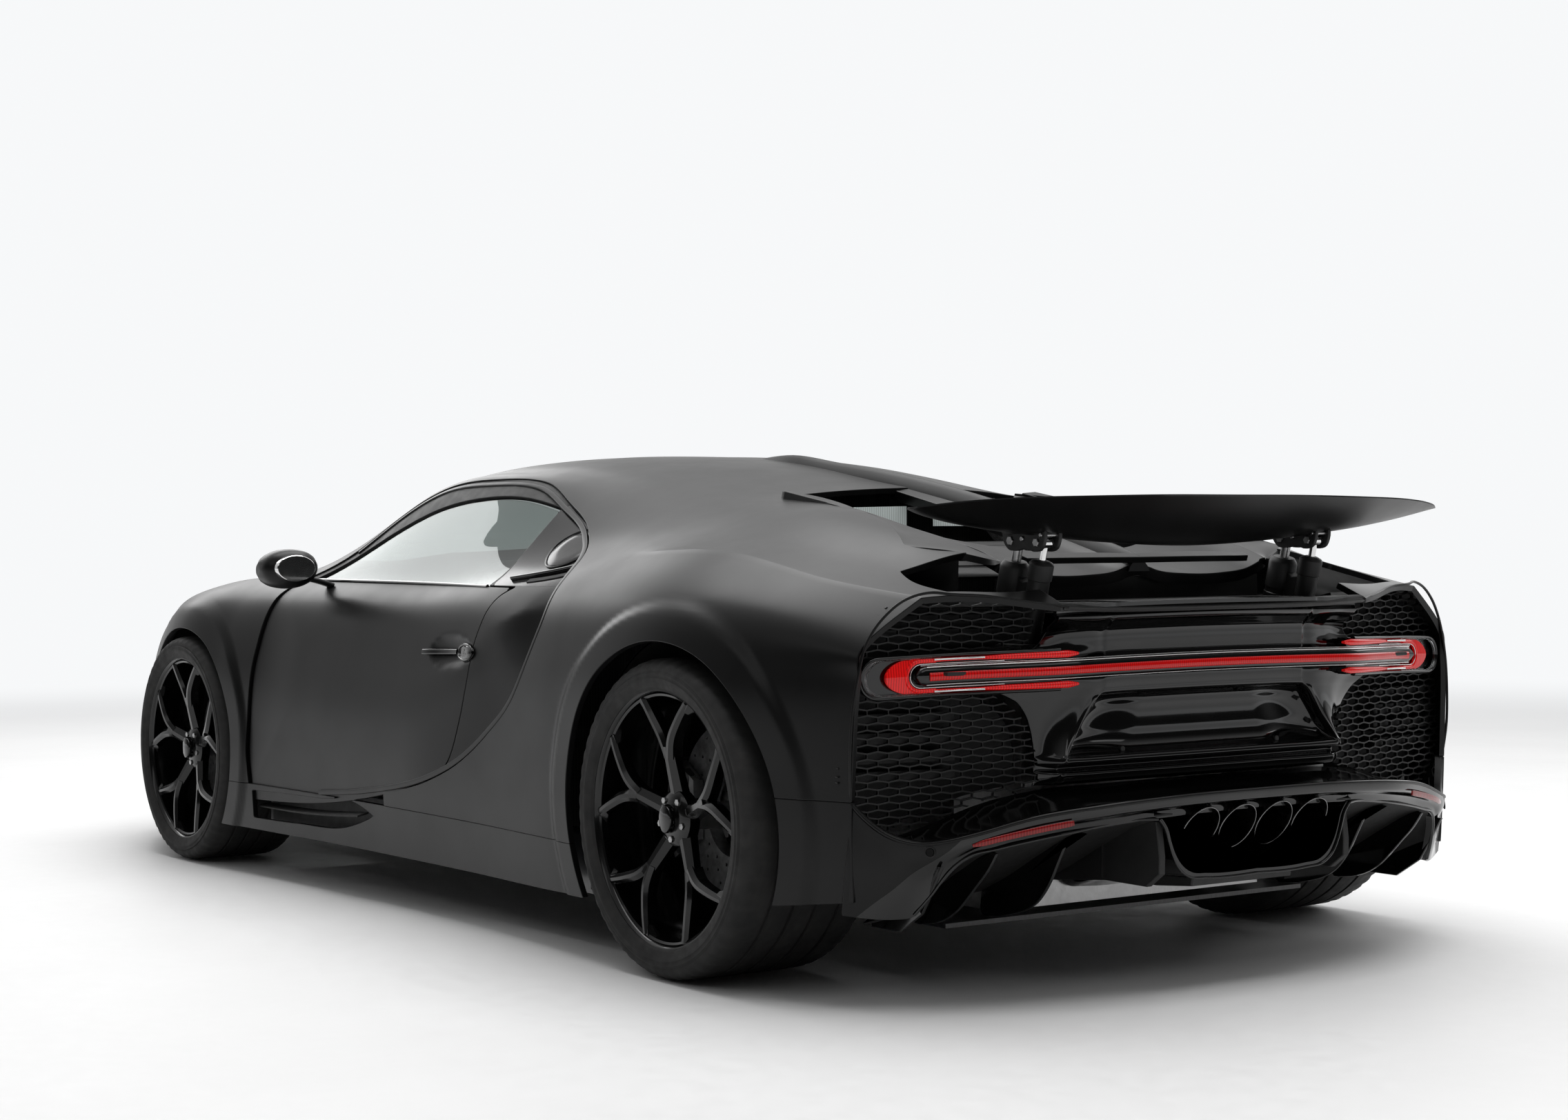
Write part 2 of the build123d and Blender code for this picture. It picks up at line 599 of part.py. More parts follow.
with BuildPart() as rear_fascia:
    add(profile([*FASCIA, *FASCIA_BACK], -FASCIA_Y, 0))
    add(stay_slot, mode=Mode.SUBTRACT)
    with BuildSketch(Plane.YZ.offset(RECESS_X)):
        with Locations((-PLATE_HOLE_Y, PLATE_HOLE_Z)):
            Circle(PLATE_HOLE_RADIUS)
    extrude(amount=TAIL_X - RECESS_X, mode=Mode.SUBTRACT)
    mirror(about=Plane.XZ)
save(rear_fascia, "rear_fascia")

with BuildPart() as tail_lamp:
    loop_low, loop_high = LAMP_LOOP_Z
    add(block(1850, TAIL_X, -LAMP_END_Y, 0, *LAMP_Z))
    add(block(1850, TAIL_X, -LAMP_END_Y, -LAMP_LOOP_Y, loop_low, loop_low + LAMP_BAR))
    add(block(1850, TAIL_X, -LAMP_END_Y, -LAMP_LOOP_Y, loop_high - LAMP_BAR, loop_high))
    add(block(1850, TAIL_X, -LAMP_END_Y, -LAMP_END_Y + 2 * LAMP_BAR, loop_low, loop_high))
    add(strip([(x + LAMP_DEPTH, y) for x, y in LAMP_LINE], LAMP_DEPTH), mode=Mode.INTERSECT)
    add(tail_recess.part + block(1850, TAIL_X, -FASCIA_Y, 0, 0, SKY), mode=Mode.INTERSECT)
    mirror(about=Plane.XZ)
save(tail_lamp, "tail_lamp")

with BuildPart() as rear_grilles:
    grille_low, grille_high = GRILLE_Z
    add(mesh_bars(1850, TAIL_X, -892, -FASCIA_Y, grille_low, grille_high))
    add(block(1850, TAIL_X, -FASCIA_Y - MESH_BAR, -FASCIA_Y, grille_low, 820))
    add(strip([(x - GRILLE_DEPTH, y) for x, y in GRILLE_LINE], GRILLE_DEPTH), mode=Mode.INTERSECT)
    add(tail_recess.part, mode=Mode.INTERSECT)
    mirror(about=Plane.XZ)
save(rear_grilles, "rear_grilles")

with BuildPart() as rear_bumper:
    add(top_prism(*BUMPER_LINE, *BUMPER_BACK))
    add(rear_view(BUMPER_FACE), mode=Mode.INTERSECT)
    ledge = top_prism((2014, 0), (2014, -FASCIA_Y), (1960, -820), (2020, -800), (2120, -690), (2215, -400),
                      (2215, 0), low=LEDGE_Z[0], high=LEDGE_Z[1])
    add(ledge)
    add(rear_corner.part)
    mirror(about=Plane.XZ)
save(rear_bumper, "rear_bumper")

with BuildPart() as exhaust:
    x0, x1, half, z0, z1 = MUFFLER
    add(block(x0, x1, -half, half, z0, z1))
    fillet(exhaust.edges().filter_by(Axis.Y), 30)
    with BuildSketch(Plane.YZ.offset(x1)):
        with GridLocations(EXHAUST_PITCH, 1, 4, 1):
            with Locations((0, EXHAUST_Z)):
                Circle(EXHAUST_RADIUS)
    extrude(amount=EXHAUST_TIP_X - x1)
    with BuildSketch(Plane.YZ.offset(x1)):
        with GridLocations(EXHAUST_PITCH, 1, 4, 1):
            with Locations((0, EXHAUST_Z)):
                Circle(EXHAUST_RADIUS - EXHAUST_WALL)
    extrude(amount=EXHAUST_TIP_X - x1, mode=Mode.SUBTRACT)
save(exhaust, "exhaust")

with BuildPart() as diffuser:
    add(profile(DIFFUSER_LINE, -DIFFUSER_Y, -TRAY_Y))
    add([profile(VANE_LINE, -y - 5, -y + 5) for y in VANES])
    # tray under the exhaust pipes
    add(profile(TRAY_LINE, -TRAY_Y, 0))
    add(profile(TRAY_SIDE, -TRAY_Y, TRAY_WALL - TRAY_Y))
    mirror(about=Plane.XZ)
save(diffuser, "diffuser")

# ---- Structure --------------------------------------------------------------------
RAIL_Y = (330, 400)         # inner and outer faces of the chassis rails
FRONT_RAIL_Z = (240, 312)
REAR_RAIL_Z = (150, 205)
FLOOR_TOP_Z = 165.0
SILL_BOX = (790, 868, 262)  # inner y, outer y, top z
NOSE_BEAM_X = -2110.0
NOSE_BEAM_Y = 560.0
NOSE_BEAM_DEPTH = 40.0
TOW_EYE = (-486.0, 266.0)   # y, z of the towing eye's socket, behind a mesh of the intake
TOW_EYE_RADIUS = 8.0
TAIL_BEAM_X = 1840.0
TAIL_BEAM_TOP = 320.0
TUB_BOX = (-1640, -1060, 330, 400, 715)     # x0, x1, half width, foot z, top z
TUB_WALL = 12.0
ENGINE_BOX = (620, 1330, 700)               # x0, x1, top z
WELL_FLOOR_Y = 540.0        # underside narrows between the wheels

floor_low = UNDERSIDE_Z + FLOOR_SKIN
with BuildPart() as cabin_space:
    add(body_half(TOP_SKIN + FIT, SIDE_SKIN + FIT, NOSE_SKIN, drop=80, tail_open=True))

with BuildPart() as monocoque:
    sill_in, sill_out, sill_top = SILL_BOX
    add(block(FIREWALL_X, BULKHEAD_X + WALL, -sill_out, 0, floor_low, FLOOR_TOP_Z))
    add(block(FIREWALL_X, 900, -sill_out, -sill_in, floor_low, sill_top))
    add(block(FIREWALL_X, FIREWALL_X + WALL, -SPAN, 0, floor_low, SKY))
    add(block(BULKHEAD_X, BULKHEAD_X + WALL, -SPAN, 0, floor_low, SKY))
    add(cabin_space.part, mode=Mode.INTERSECT)
    mirror(about=Plane.XZ)
save(monocoque, "monocoque")

with BuildPart() as front_rails:
    add(block(NOSE_BEAM_X + NOSE_BEAM_DEPTH, FIREWALL_X, -RAIL_Y[1], -RAIL_Y[0], *FRONT_RAIL_Z))
    mirror(about=Plane.XZ)
save(front_rails, "front_rails")

with BuildPart() as front_beams:
    add(block(NOSE_BEAM_X, NOSE_BEAM_X + NOSE_BEAM_DEPTH, -NOSE_BEAM_Y, 0, *FRONT_RAIL_Z))
    with BuildSketch(Plane.YZ.offset(NOSE_BEAM_X)):
        with Locations(TOW_EYE):
            Circle(TOW_EYE_RADIUS)
    extrude(amount=NOSE_BEAM_DEPTH, mode=Mode.SUBTRACT)
    add(block(FRONT_AXLE_X + 250, FRONT_AXLE_X + 290, -RAIL_Y[0], 0, *FRONT_RAIL_Z))
    mirror(about=Plane.XZ)
save(front_beams, "front_beams")

with BuildPart() as underfloor:
    add(top_prism(
        (-2120, 0), (-2100, -300), (-1940, -690), (BUMPER_X, -850), (-1720, -WELL_FLOOR_Y),
        (FIREWALL_X, -WELL_FLOOR_Y), (FIREWALL_X, -SILL_BOX[1]), (980, -SILL_BOX[1]), (980, -WELL_FLOOR_Y),
        (1845, -WELL_FLOOR_Y), (1845, 0), low=UNDERSIDE_Z, high=floor_low))
    add(front_bumper.part, mode=Mode.SUBTRACT)
    mirror(about=Plane.XZ)
save(underfloor, "underfloor")

with BuildPart() as luggage_tub:
    x0, x1, half, foot, top = TUB_BOX
    add(block(x0, x1, -half, half, foot, top))
    add(block(x0 + TUB_WALL, x1 - TUB_WALL, TUB_WALL - half, half - TUB_WALL, foot + TUB_WALL, SKY),
        mode=Mode.SUBTRACT)
save(luggage_tub, "luggage_tub")

with BuildPart() as rear_frame:
    add(block(BULKHEAD_X + WALL, TAIL_BEAM_X, -RAIL_Y[1], -RAIL_Y[0], *REAR_RAIL_Z))
    add(block(TAIL_BEAM_X - 40, TAIL_BEAM_X, -RAIL_Y[0], 0, REAR_RAIL_Z[0], TAIL_BEAM_TOP))
    add(block(BULKHEAD_X + WALL, BULKHEAD_X + WALL + 40, -RAIL_Y[0], 0, *REAR_RAIL_Z))
    mirror(about=Plane.XZ)
save(rear_frame, "rear_frame")

with BuildPart() as engine:
    x0, x1, top = ENGINE_BOX
    half = RAIL_Y[0]
    add(block(x0, x1, -half, half, REAR_RAIL_Z[0], 560))
    add(profile(((x0 + 20, 560), (x0 + 20, top), (x1 - 60, top - 40), (x1, 560)), -230, 230))
save(engine, "engine")

# ---- Cabin ------------------------------------------------------------------------
SEAT_SHAPE = (              # (x, z) of a seat seen from its side
    (-300, FLOOR_TOP_Z), (-330, 330), (-300, 372), (60, 300), (110, 330), (330, 820), (352, 960), (392, 965),
    (440, 880), (300, 420), (240, FLOOR_TOP_Z))
BOLSTER = 70.0
BOLSTER_RISE = 60.0
DASH = ((-839, 560), (-839, 800), (-700, 815), (-560, 765), (-520, 690), (-560, 600), (-640, 540))
DASH_Y = 640.0
CONSOLE = ((-640, FLOOR_TOP_Z), (-640, 560), (-540, 600), (-300, 470), (120, 440), (180, FLOOR_TOP_Z))
CONSOLE_Y = 90.0
COLUMN_TILT = 22.0          # steering column above level, degrees
STEERING_RIM = 15.0

with BuildPart() as seats:
    add(profile(SEAT_SHAPE, -SEAT_Y - SEAT_WIDTH / 2 + BOLSTER, -SEAT_Y + SEAT_WIDTH / 2 - BOLSTER))
    side = [(x - BOLSTER_RISE * (z > 400), z + BOLSTER_RISE * (z > 250)) for x, z in SEAT_SHAPE]
    add(profile(side, -SEAT_Y - SEAT_WIDTH / 2, -SEAT_Y - SEAT_WIDTH / 2 + BOLSTER))
    add(profile(side, -SEAT_Y + SEAT_WIDTH / 2 - BOLSTER, -SEAT_Y + SEAT_WIDTH / 2))
    mirror(about=Plane.XZ)
save(seats, "seats")

with BuildPart() as dashboard:
    add(profile(DASH, -DASH_Y, DASH_Y))
    add(profile(CONSOLE, -CONSOLE_Y, CONSOLE_Y))
save(dashboard, "dashboard")

hub_x, hub_y, hub_z = WHEEL_HUB
tilt = radians(COLUMN_TILT)
column_plane = Plane(origin=WHEEL_HUB, x_dir=(-sin(tilt), 0, cos(tilt)), z_dir=(cos(tilt), 0, sin(tilt)))
with BuildPart() as steering_wheel:
    with BuildSketch(Plane(origin=WHEEL_HUB, x_dir=column_plane.x_dir, z_dir=(0, 1, 0))):
        with Locations((STEERING_RADIUS, 0)):
            Circle(STEERING_RIM)
    revolve(axis=Axis(WHEEL_HUB, column_plane.z_dir))
    with BuildSketch(column_plane.offset(-12)):
        Circle(62)
        with PolarLocations(STEERING_RADIUS / 2, 3, start_angle=-90, angular_range=360):
            Rectangle(STEERING_RADIUS - STEERING_RIM, 26)
    extrude(amount=24)
    with BuildSketch(column_plane):
        Circle(32)
    extrude(amount=-300)
    add(dashboard.part, mode=Mode.SUBTRACT)
save(steering_wheel, "steering_wheel")

# ---- Door mirrors -------------------------------------------------------------------
MIRROR_SECTIONS = (         # x, centre y, centre z, half width, half height
    (-640, -975, 898, 34, 20), (-606, -970, 902, 76, 46), (-548, -966, 905, 94, 58), (-470, -962, 906, 94, 62))
MIRROR_STALK = (-625, -565, -925, -800, 838, 862)
with BuildPart() as mirror_left:
    for x, y, z, half_width, half_height in MIRROR_SECTIONS:
        with BuildSketch(Plane(origin=(x, y, z), x_dir=(0, 1, 0), z_dir=(1, 0, 0))):
            Ellipse(half_width, half_height)
    loft()
    add(block(*MIRROR_STALK))
    add(outer_half, mode=Mode.SUBTRACT)
save(mirror_left, "mirror_left")
with BuildPart() as mirror_right:
    add(mirror_left.part.mirror(Plane.XZ))
save(mirror_right, "mirror_right")

# ---- Wing, its stays, tilt rods and guides --------------------------------------------
lean = radians(STAY_LEAN)
stay_axis = (sin(lean), 0, cos(lean))
stay_plane = Plane(
    origin=(WING_PIVOT_X, -WING_STAY_Y, WING_PIVOT_Z), x_dir=(cos(lean), 0, -sin(lean)), z_dir=stay_axis)
STAY_TOP = -45.0            # along the stay's axis from the pivot
BARREL_TOP = -22.0
NECK_RADIUS = 11.0
EYE_RADIUS = 14.0
ROD_BORE_DEPTH = 150.0
stay_length = (WING_PIVOT_Z - STAY_FOOT_Z) / cos(lean)
eye_height = (ROD_EYE_Z - WING_PIVOT_Z + BARREL_PITCH * sin(lean)) / cos(lean)


def stay_shape(grow, foot, top=STAY_TOP, barrel_top=BARREL_TOP):
    """Stay, tilt barrel and the web between them, along the stay's axis."""
    with BuildPart() as shape:
        with BuildSketch(stay_plane.offset(foot)):
            Circle(STAY_RADIUS + grow)
        extrude(amount=top - foot)
        with BuildSketch(stay_plane.offset(foot)):
            with Locations((BARREL_PITCH, 0)):
                Circle(BARREL_RADIUS + grow)
        extrude(amount=barrel_top - foot)
        with BuildSketch(stay_plane.offset(foot)):
            with Locations((BARREL_PITCH / 2, 0)):
                Rectangle(BARREL_PITCH, 28 + 2 * grow)
        extrude(amount=barrel_top - 30 - foot)
    return shape.part


def lug(y0, y1):
    """One lug under the wing, from the pivot to the rod's eye."""
    x0, x1 = WING_PIVOT_X, ROD_EYE_X
    return profile(((x0 - 18, WING_PIVOT_Z - 12), (x0 + 16, WING_PIVOT_Z - 18), (x1, ROD_EYE_Z - 20),
                    (x1 + 22, ROD_EYE_Z - 6), (x1 + 26, 1000), (x0 - 10, 1002)), y0, y1)


with BuildPart() as wing:
    rows = [(-y, *rest) for y, *rest in reversed(WING_SECTIONS)] + list(WING_SECTIONS[1:])
    for y, lead, belly, trail, thickness in rows:
        with BuildSketch(Plane.XZ.offset(-y)):
            with BuildLine():
                ThreePointArc(lead, belly, trail)
                Line(trail, (trail[0], trail[1] + 4))
                ThreePointArc((trail[0], trail[1] + 4), (belly[0], belly[1] + thickness), (lead[0], lead[1] + 4))
                Line((lead[0], lead[1] + 4), lead)
            make_face()
    loft()
    for side in (-1, 1):
        for inner in (LUG_GAP, -LUG_GAP - LUG_THICKNESS):
            y = side * WING_STAY_Y + inner
            add(lug(y, y + LUG_THICKNESS))
        add(cross_cylinder(WING_PIVOT_X, WING_PIVOT_Z, PIN_RADIUS, side * WING_STAY_Y - LUG_GAP,
                           side * WING_STAY_Y + LUG_GAP))
save(wing, "wing")

with BuildPart() as wing_stays:
    add(stay_shape(0, -stay_length))
    with BuildSketch(stay_plane.offset(STAY_TOP)):
        Circle(NECK_RADIUS)
    extrude(amount=-STAY_TOP)
    add(cross_cylinder(WING_PIVOT_X, WING_PIVOT_Z, EYE_RADIUS, -WING_STAY_Y - LUG_GAP + 1,
                       -WING_STAY_Y + LUG_GAP - 1))
    add(cross_cylinder(WING_PIVOT_X, WING_PIVOT_Z, PIN_RADIUS + FIT, -WING_STAY_Y - LUG_GAP,
                       -WING_STAY_Y + LUG_GAP), mode=Mode.SUBTRACT)
    with BuildSketch(stay_plane.offset(BARREL_TOP)):
        with Locations((BARREL_PITCH, 0)):
            Circle(ROD_RADIUS + FIT)
    extrude(amount=-ROD_BORE_DEPTH, mode=Mode.SUBTRACT)
    mirror(about=Plane.XZ)
save(wing_stays, "wing_stays")

with BuildPart() as tilt_rods:
    with BuildSketch(stay_plane.offset(eye_height)):
        with Locations((BARREL_PITCH, 0)):
            Circle(ROD_RADIUS)
    extrude(amount=-(ROD_BORE_DEPTH - 40))
    add(cross_cylinder(ROD_EYE_X, ROD_EYE_Z, EYE_RADIUS - 3, -WING_STAY_Y - 11, -WING_STAY_Y + 11))
    mirror(about=Plane.XZ)
save(tilt_rods, "tilt_rods")

GUIDE_BOX = (1770, 2000, 50, 340, 740)      # x0, x1, half width, foot z, top z
with BuildPart() as wing_guides:
    x0, x1, half, foot, top = GUIDE_BOX
    add(block(x0, x1, -WING_STAY_Y - half, -WING_STAY_Y + half, foot, top))
    add(block(x0, TAIL_BEAM_X, -WING_STAY_Y - half, -WING_STAY_Y + half, REAR_RAIL_Z[1], foot))
    add(stay_shape(FIT, -stay_length - STAY_STROKE - 15, top=0, barrel_top=0), mode=Mode.SUBTRACT)
    mirror(about=Plane.XZ)
save(wing_guides, "wing_guides")

# ---- Axles, knuckles and wheels --------------------------------------------------------
KINGPIN_Y = 790.0
ARM_Z = 130.0               # ball joints above and below the wheel's centre
ARM_RADIUS = 12.0
BALL_RADIUS = 22.0
STUD_RADIUS = 9.0           # steering ball's stud in its bore
STUD_REACH = 60.0
SHAFT_RADIUS = 20.0
RIM_INSET = 8.0             # rim's lip inside the tyre's sidewall


def bar(start, end, radius):
    """A round bar between two points."""
    with BuildPart() as rod:
        direction = Vector(*end) - Vector(*start)
        with BuildSketch(Plane(origin=start, z_dir=direction)):
            Circle(radius)
        extrude(amount=direction.length)
    return rod.part


def stud(axle_x, wheel_z, side, grow=0.0):
    """Stud from a steering ball into the knuckle's post, above (1) or below (-1) the wheel's centre."""
    centre_z = wheel_z + side * (ARM_Z - STUD_REACH / 2)
    return Pos(axle_x, -KINGPIN_Y, centre_z) * Cylinder(STUD_RADIUS + grow, STUD_REACH + 2 * grow)


def axle(wheel, housing, pivot_y, outer_y, shaft_end_y):
    """Drive housing, half shafts and two wishbones a side."""
    name, axle_x, centre_y, tyre_radius, width, rim = wheel
    x0, x1, half, z0, z1 = housing
    with BuildPart() as unit:
        add(block(axle_x + x0, axle_x + x1, -half, 0, z0, z1))
        add(bar((axle_x, -half + 10, tyre_radius), (axle_x, -shaft_end_y, tyre_radius), SHAFT_RADIUS))
        for rise in (-ARM_Z, ARM_Z):
            ball = (axle_x, -outer_y, tyre_radius + rise)
            inner_z = min(max(tyre_radius + rise, z0 + 20), z1 - 20)
            for reach in (x0 + 20, x1 - 20):
                add(bar((axle_x + reach, -half + 5, inner_z), ball, ARM_RADIUS))
            add(Pos(*ball) * Sphere(BALL_RADIUS, mode=Mode.PRIVATE))
        mirror(about=Plane.XZ)
    return unit


POST = (32, 57)             # half length and depth of a knuckle's post
SPINDLE_RADIUS = HUB_BORE - FIT
HUB_CAP = 16.0              # closed outer end of the hub
CALIPER_RADII = (130, 222)
CALIPER_WALL = 26.0
DISC_GAP = 2.0
KNUCKLE_Y = KINGPIN_Y + 22  # outboard face of the front posts
UPRIGHT_Y = 770.0           # and of the rear ones


def knuckle(wheel, face_y, caliper_side):
    """Post between the ball joints, spindle and caliper, outboard face at face_y."""
    name, axle_x, centre_y, tyre_radius, width, rim = wheel
    disc_y = centre_y - DISC_OFFSET
    half_x, depth = POST
    half_z = ARM_Z - BALL_RADIUS - FIT
    slot = DISC_THICKNESS / 2 + DISC_GAP
    inner, outer = CALIPER_RADII
    with BuildPart() as unit:
        add(block(axle_x - half_x, axle_x + half_x, -face_y, depth - face_y, tyre_radius - half_z,
                  tyre_radius + half_z))
        hub_end = centre_y + width / 2 - RIM_INSET - SPOKE_INSET - HUB_CAP - 5
        add(cross_cylinder(axle_x, tyre_radius, SPINDLE_RADIUS, -hub_end, -face_y))
        add(block(axle_x, axle_x + caliper_side * (inner + 20), -face_y, 24 - face_y, tyre_radius - 40,
                  tyre_radius + 40))
        with BuildSketch(Plane.XZ.offset(disc_y - slot - CALIPER_WALL)):
            with Locations((axle_x, tyre_radius)):
                start = (0 if caliper_side > 0 else 180) - CALIPER_SPAN / 2
                with BuildLine():
                    a0, a1 = radians(start), radians(start + CALIPER_SPAN)
                    mid = (a0 + a1) / 2
                    corner = [(axle_x + r * cos(a), tyre_radius + r * sin(a))
                              for r, a in ((inner, a0), (outer, a0), (outer, mid), (outer, a1), (inner, a1))]
                    Line(corner[0], corner[1])
                    ThreePointArc(corner[1], corner[2], corner[3])
                    Line(corner[3], corner[4])
                    Line(corner[4], corner[0])
                make_face()
        extrude(amount=2 * (slot + CALIPER_WALL))
        add(cross_cylinder(axle_x, tyre_radius, DISC_RADIUS + 4, -disc_y - slot, slot - disc_y)
            - cross_cylinder(axle_x, tyre_radius, SPINDLE_RADIUS + 40, -disc_y - slot, slot - disc_y),
            mode=Mode.SUBTRACT)
    return unit


SPOKE_INSET = 10.0          # spokes' face behind the rim's lip
front_drive = axle(FRONT_WHEEL, (-150, 190, RAIL_Y[0], 190, 400), RAIL_Y[0], KINGPIN_Y, 735)
studs = [stud(FRONT_AXLE_X, FRONT_WHEEL[3], side) for side in (-1, 1)]
stud_bores = [stud(FRONT_AXLE_X, FRONT_WHEEL[3], side, grow=FIT) for side in (-1, 1)]
with BuildPart() as front_axle:
    add(front_drive.part)
    add([*both(studs[0]), *both(studs[1])])
save(front_axle, "front_axle")

rear_drive = axle(REAR_WHEEL, (-85, 150, RAIL_Y[0], 160, 420), RAIL_Y[0], UPRIGHT_Y - 22, UPRIGHT_Y - 40)
rear_upright = knuckle(REAR_WHEEL, UPRIGHT_Y, -1)
with BuildPart() as rear_axle:
    add(rear_drive.part)
    add(both(rear_upright.part))
save(rear_axle, "rear_axle")

steered_knuckle = knuckle(FRONT_WHEEL, KNUCKLE_Y, 1)
with BuildPart() as knuckle_left:
    add(steered_knuckle.part)
    add(stud_bores, mode=Mode.SUBTRACT)
save(knuckle_left, "knuckle_left")
with BuildPart() as knuckle_right:
    add(knuckle_left.part.mirror(Plane.XZ))
save(knuckle_right, "knuckle_right")


def tyre(wheel):
    """A tyre: flat tread, round shoulders and bulging sidewalls."""
    name, axle_x, centre_y, radius, width, rim = wheel
    with BuildPart() as unit:
        with BuildSketch(Plane.XY):
            with BuildLine():
                half = width / 2
                tread = half - 26
                bead = half - 12
                ends = [(x, radius - 14) for x in (half - 6, 6 - half)]
                Polyline((-tread, radius), (tread, radius))
                ThreePointArc((tread, radius), (half - 12, radius - 5), ends[0])
                ThreePointArc(ends[0], (half, (radius + rim) / 2), (bead, rim + FIT))
                Line((bead, rim + FIT), (-bead, rim + FIT))
                ThreePointArc((-bead, rim + FIT), (-half, (radius + rim) / 2), ends[1])
                ThreePointArc(ends[1], (12 - half, radius - 5), (-tread, radius))
            make_face()
        revolve(axis=Axis.X)
    return Pos(axle_x, -centre_y, radius) * Rot(0, 0, 90) * unit.part


def rim(wheel):
    """Rim barrel, forked spokes, hub and brake disc, turning together."""
    name, axle_x, centre_y, radius, width, rim_radius = wheel
    face = width / 2 - RIM_INSET            # outboard of the wheel's centre
    spoke_face = face - SPOKE_INSET
    fork = SPOKE_FORK * rim_radius
    reach = rim_radius - RIM_THICKNESS / 2
    with BuildPart() as unit:
        with BuildSketch():
            Circle(rim_radius)
            Circle(rim_radius - RIM_THICKNESS, mode=Mode.SUBTRACT)
        extrude(amount=face, both=True)
        with BuildSketch(Plane.XY.offset(spoke_face)):
            Circle(HUB_RADIUS)
            for i in range(SPOKES):
                turn = 360 * i / SPOKES + 90
                half = SPOKE_WIDTH / 2
                out = Vector(cos(radians(turn)), sin(radians(turn)))
                flank = Vector(-out.Y, out.X) * half
                with BuildLine():
                    Polyline(-flank, out * fork - flank * 0.8, out * fork + flank * 0.8, flank, close=True)
                make_face()
                for spread in (-SPOKE_SPREAD, SPOKE_SPREAD):
                    tip = radians(turn + spread)
                    start = out * (fork - 12)
                    end = Vector(reach * cos(tip), reach * sin(tip))
                    along = (end - start).normalized()
                    across = Vector(-along.Y, along.X)
                    with BuildLine():
                        Polyline(start + across * half * 0.75, end + across * half * 0.4,
                                 end - across * half * 0.4, start - across * half * 0.75, close=True)
                    make_face()
        extrude(amount=-SPOKE_DEPTH)
        with BuildSketch(Plane.XY.offset(spoke_face)):
            Circle(HUB_RADIUS)
        extrude(amount=-(spoke_face + DISC_OFFSET + DISC_THICKNESS / 2))
        with BuildSketch(Plane.XY.offset(-DISC_OFFSET - DISC_THICKNESS / 2)):
            Circle(DISC_RADIUS)
        extrude(amount=DISC_THICKNESS)
        with BuildSketch(Plane.XY.offset(-DISC_OFFSET - DISC_THICKNESS / 2 - 1)):
            Circle(HUB_BORE)
        extrude(amount=spoke_face + DISC_OFFSET + DISC_THICKNESS / 2 + 1 - HUB_CAP, mode=Mode.SUBTRACT)
    return Pos(axle_x, -centre_y, radius) * Rot(90, 0, 0) * unit.part


for wheel in (FRONT_WHEEL, REAR_WHEEL):
    tyre_part = tyre(wheel)
    rim_part = rim(wheel)
    for side in ("left", "right"):
        with BuildPart() as tyre_unit:
            add(tyre_part if side == "left" else tyre_part.mirror(Plane.XZ))
        save(tyre_unit, f"tyre_{wheel[0]}_{side}")
        with BuildPart() as rim_unit:
            add(rim_part if side == "left" else rim_part.mirror(Plane.XZ))
        save(rim_unit, f"rim_{wheel[0]}_{side}")
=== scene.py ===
import json
import math
import bpy
import numpy as np
from mathutils import Matrix, Vector


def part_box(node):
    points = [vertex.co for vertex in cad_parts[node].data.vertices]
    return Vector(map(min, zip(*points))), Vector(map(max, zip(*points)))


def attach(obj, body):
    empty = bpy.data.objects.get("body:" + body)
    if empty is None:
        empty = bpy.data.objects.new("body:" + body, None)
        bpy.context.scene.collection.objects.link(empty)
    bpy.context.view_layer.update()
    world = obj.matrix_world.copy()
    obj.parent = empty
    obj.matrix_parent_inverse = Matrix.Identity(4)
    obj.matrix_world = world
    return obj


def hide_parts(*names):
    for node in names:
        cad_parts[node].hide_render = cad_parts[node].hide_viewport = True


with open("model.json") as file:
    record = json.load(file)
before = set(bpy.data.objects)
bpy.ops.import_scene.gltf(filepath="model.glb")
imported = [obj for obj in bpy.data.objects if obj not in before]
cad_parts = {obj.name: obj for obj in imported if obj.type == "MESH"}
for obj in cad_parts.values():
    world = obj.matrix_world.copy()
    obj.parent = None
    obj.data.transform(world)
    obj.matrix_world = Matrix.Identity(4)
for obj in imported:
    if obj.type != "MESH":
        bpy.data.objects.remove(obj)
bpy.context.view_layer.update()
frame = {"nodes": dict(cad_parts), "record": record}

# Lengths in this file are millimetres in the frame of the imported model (+X to the tail, +Y to the
# car's right, +Z up, origin on the floor below the middle); MM turns them into metres.
MM = 0.001

FRONT_X, REAR_X = -1290.0, 1421.0
LEFT, RIGHT = -1, 1


# ---- Numbers and curves --------------------------------------------------------------------------
def smoothstep(low, high, x):
    t = np.clip((np.asarray(x, float) - low) / (high - low), 0, 1)
    return t * t * (3 - 2 * t)


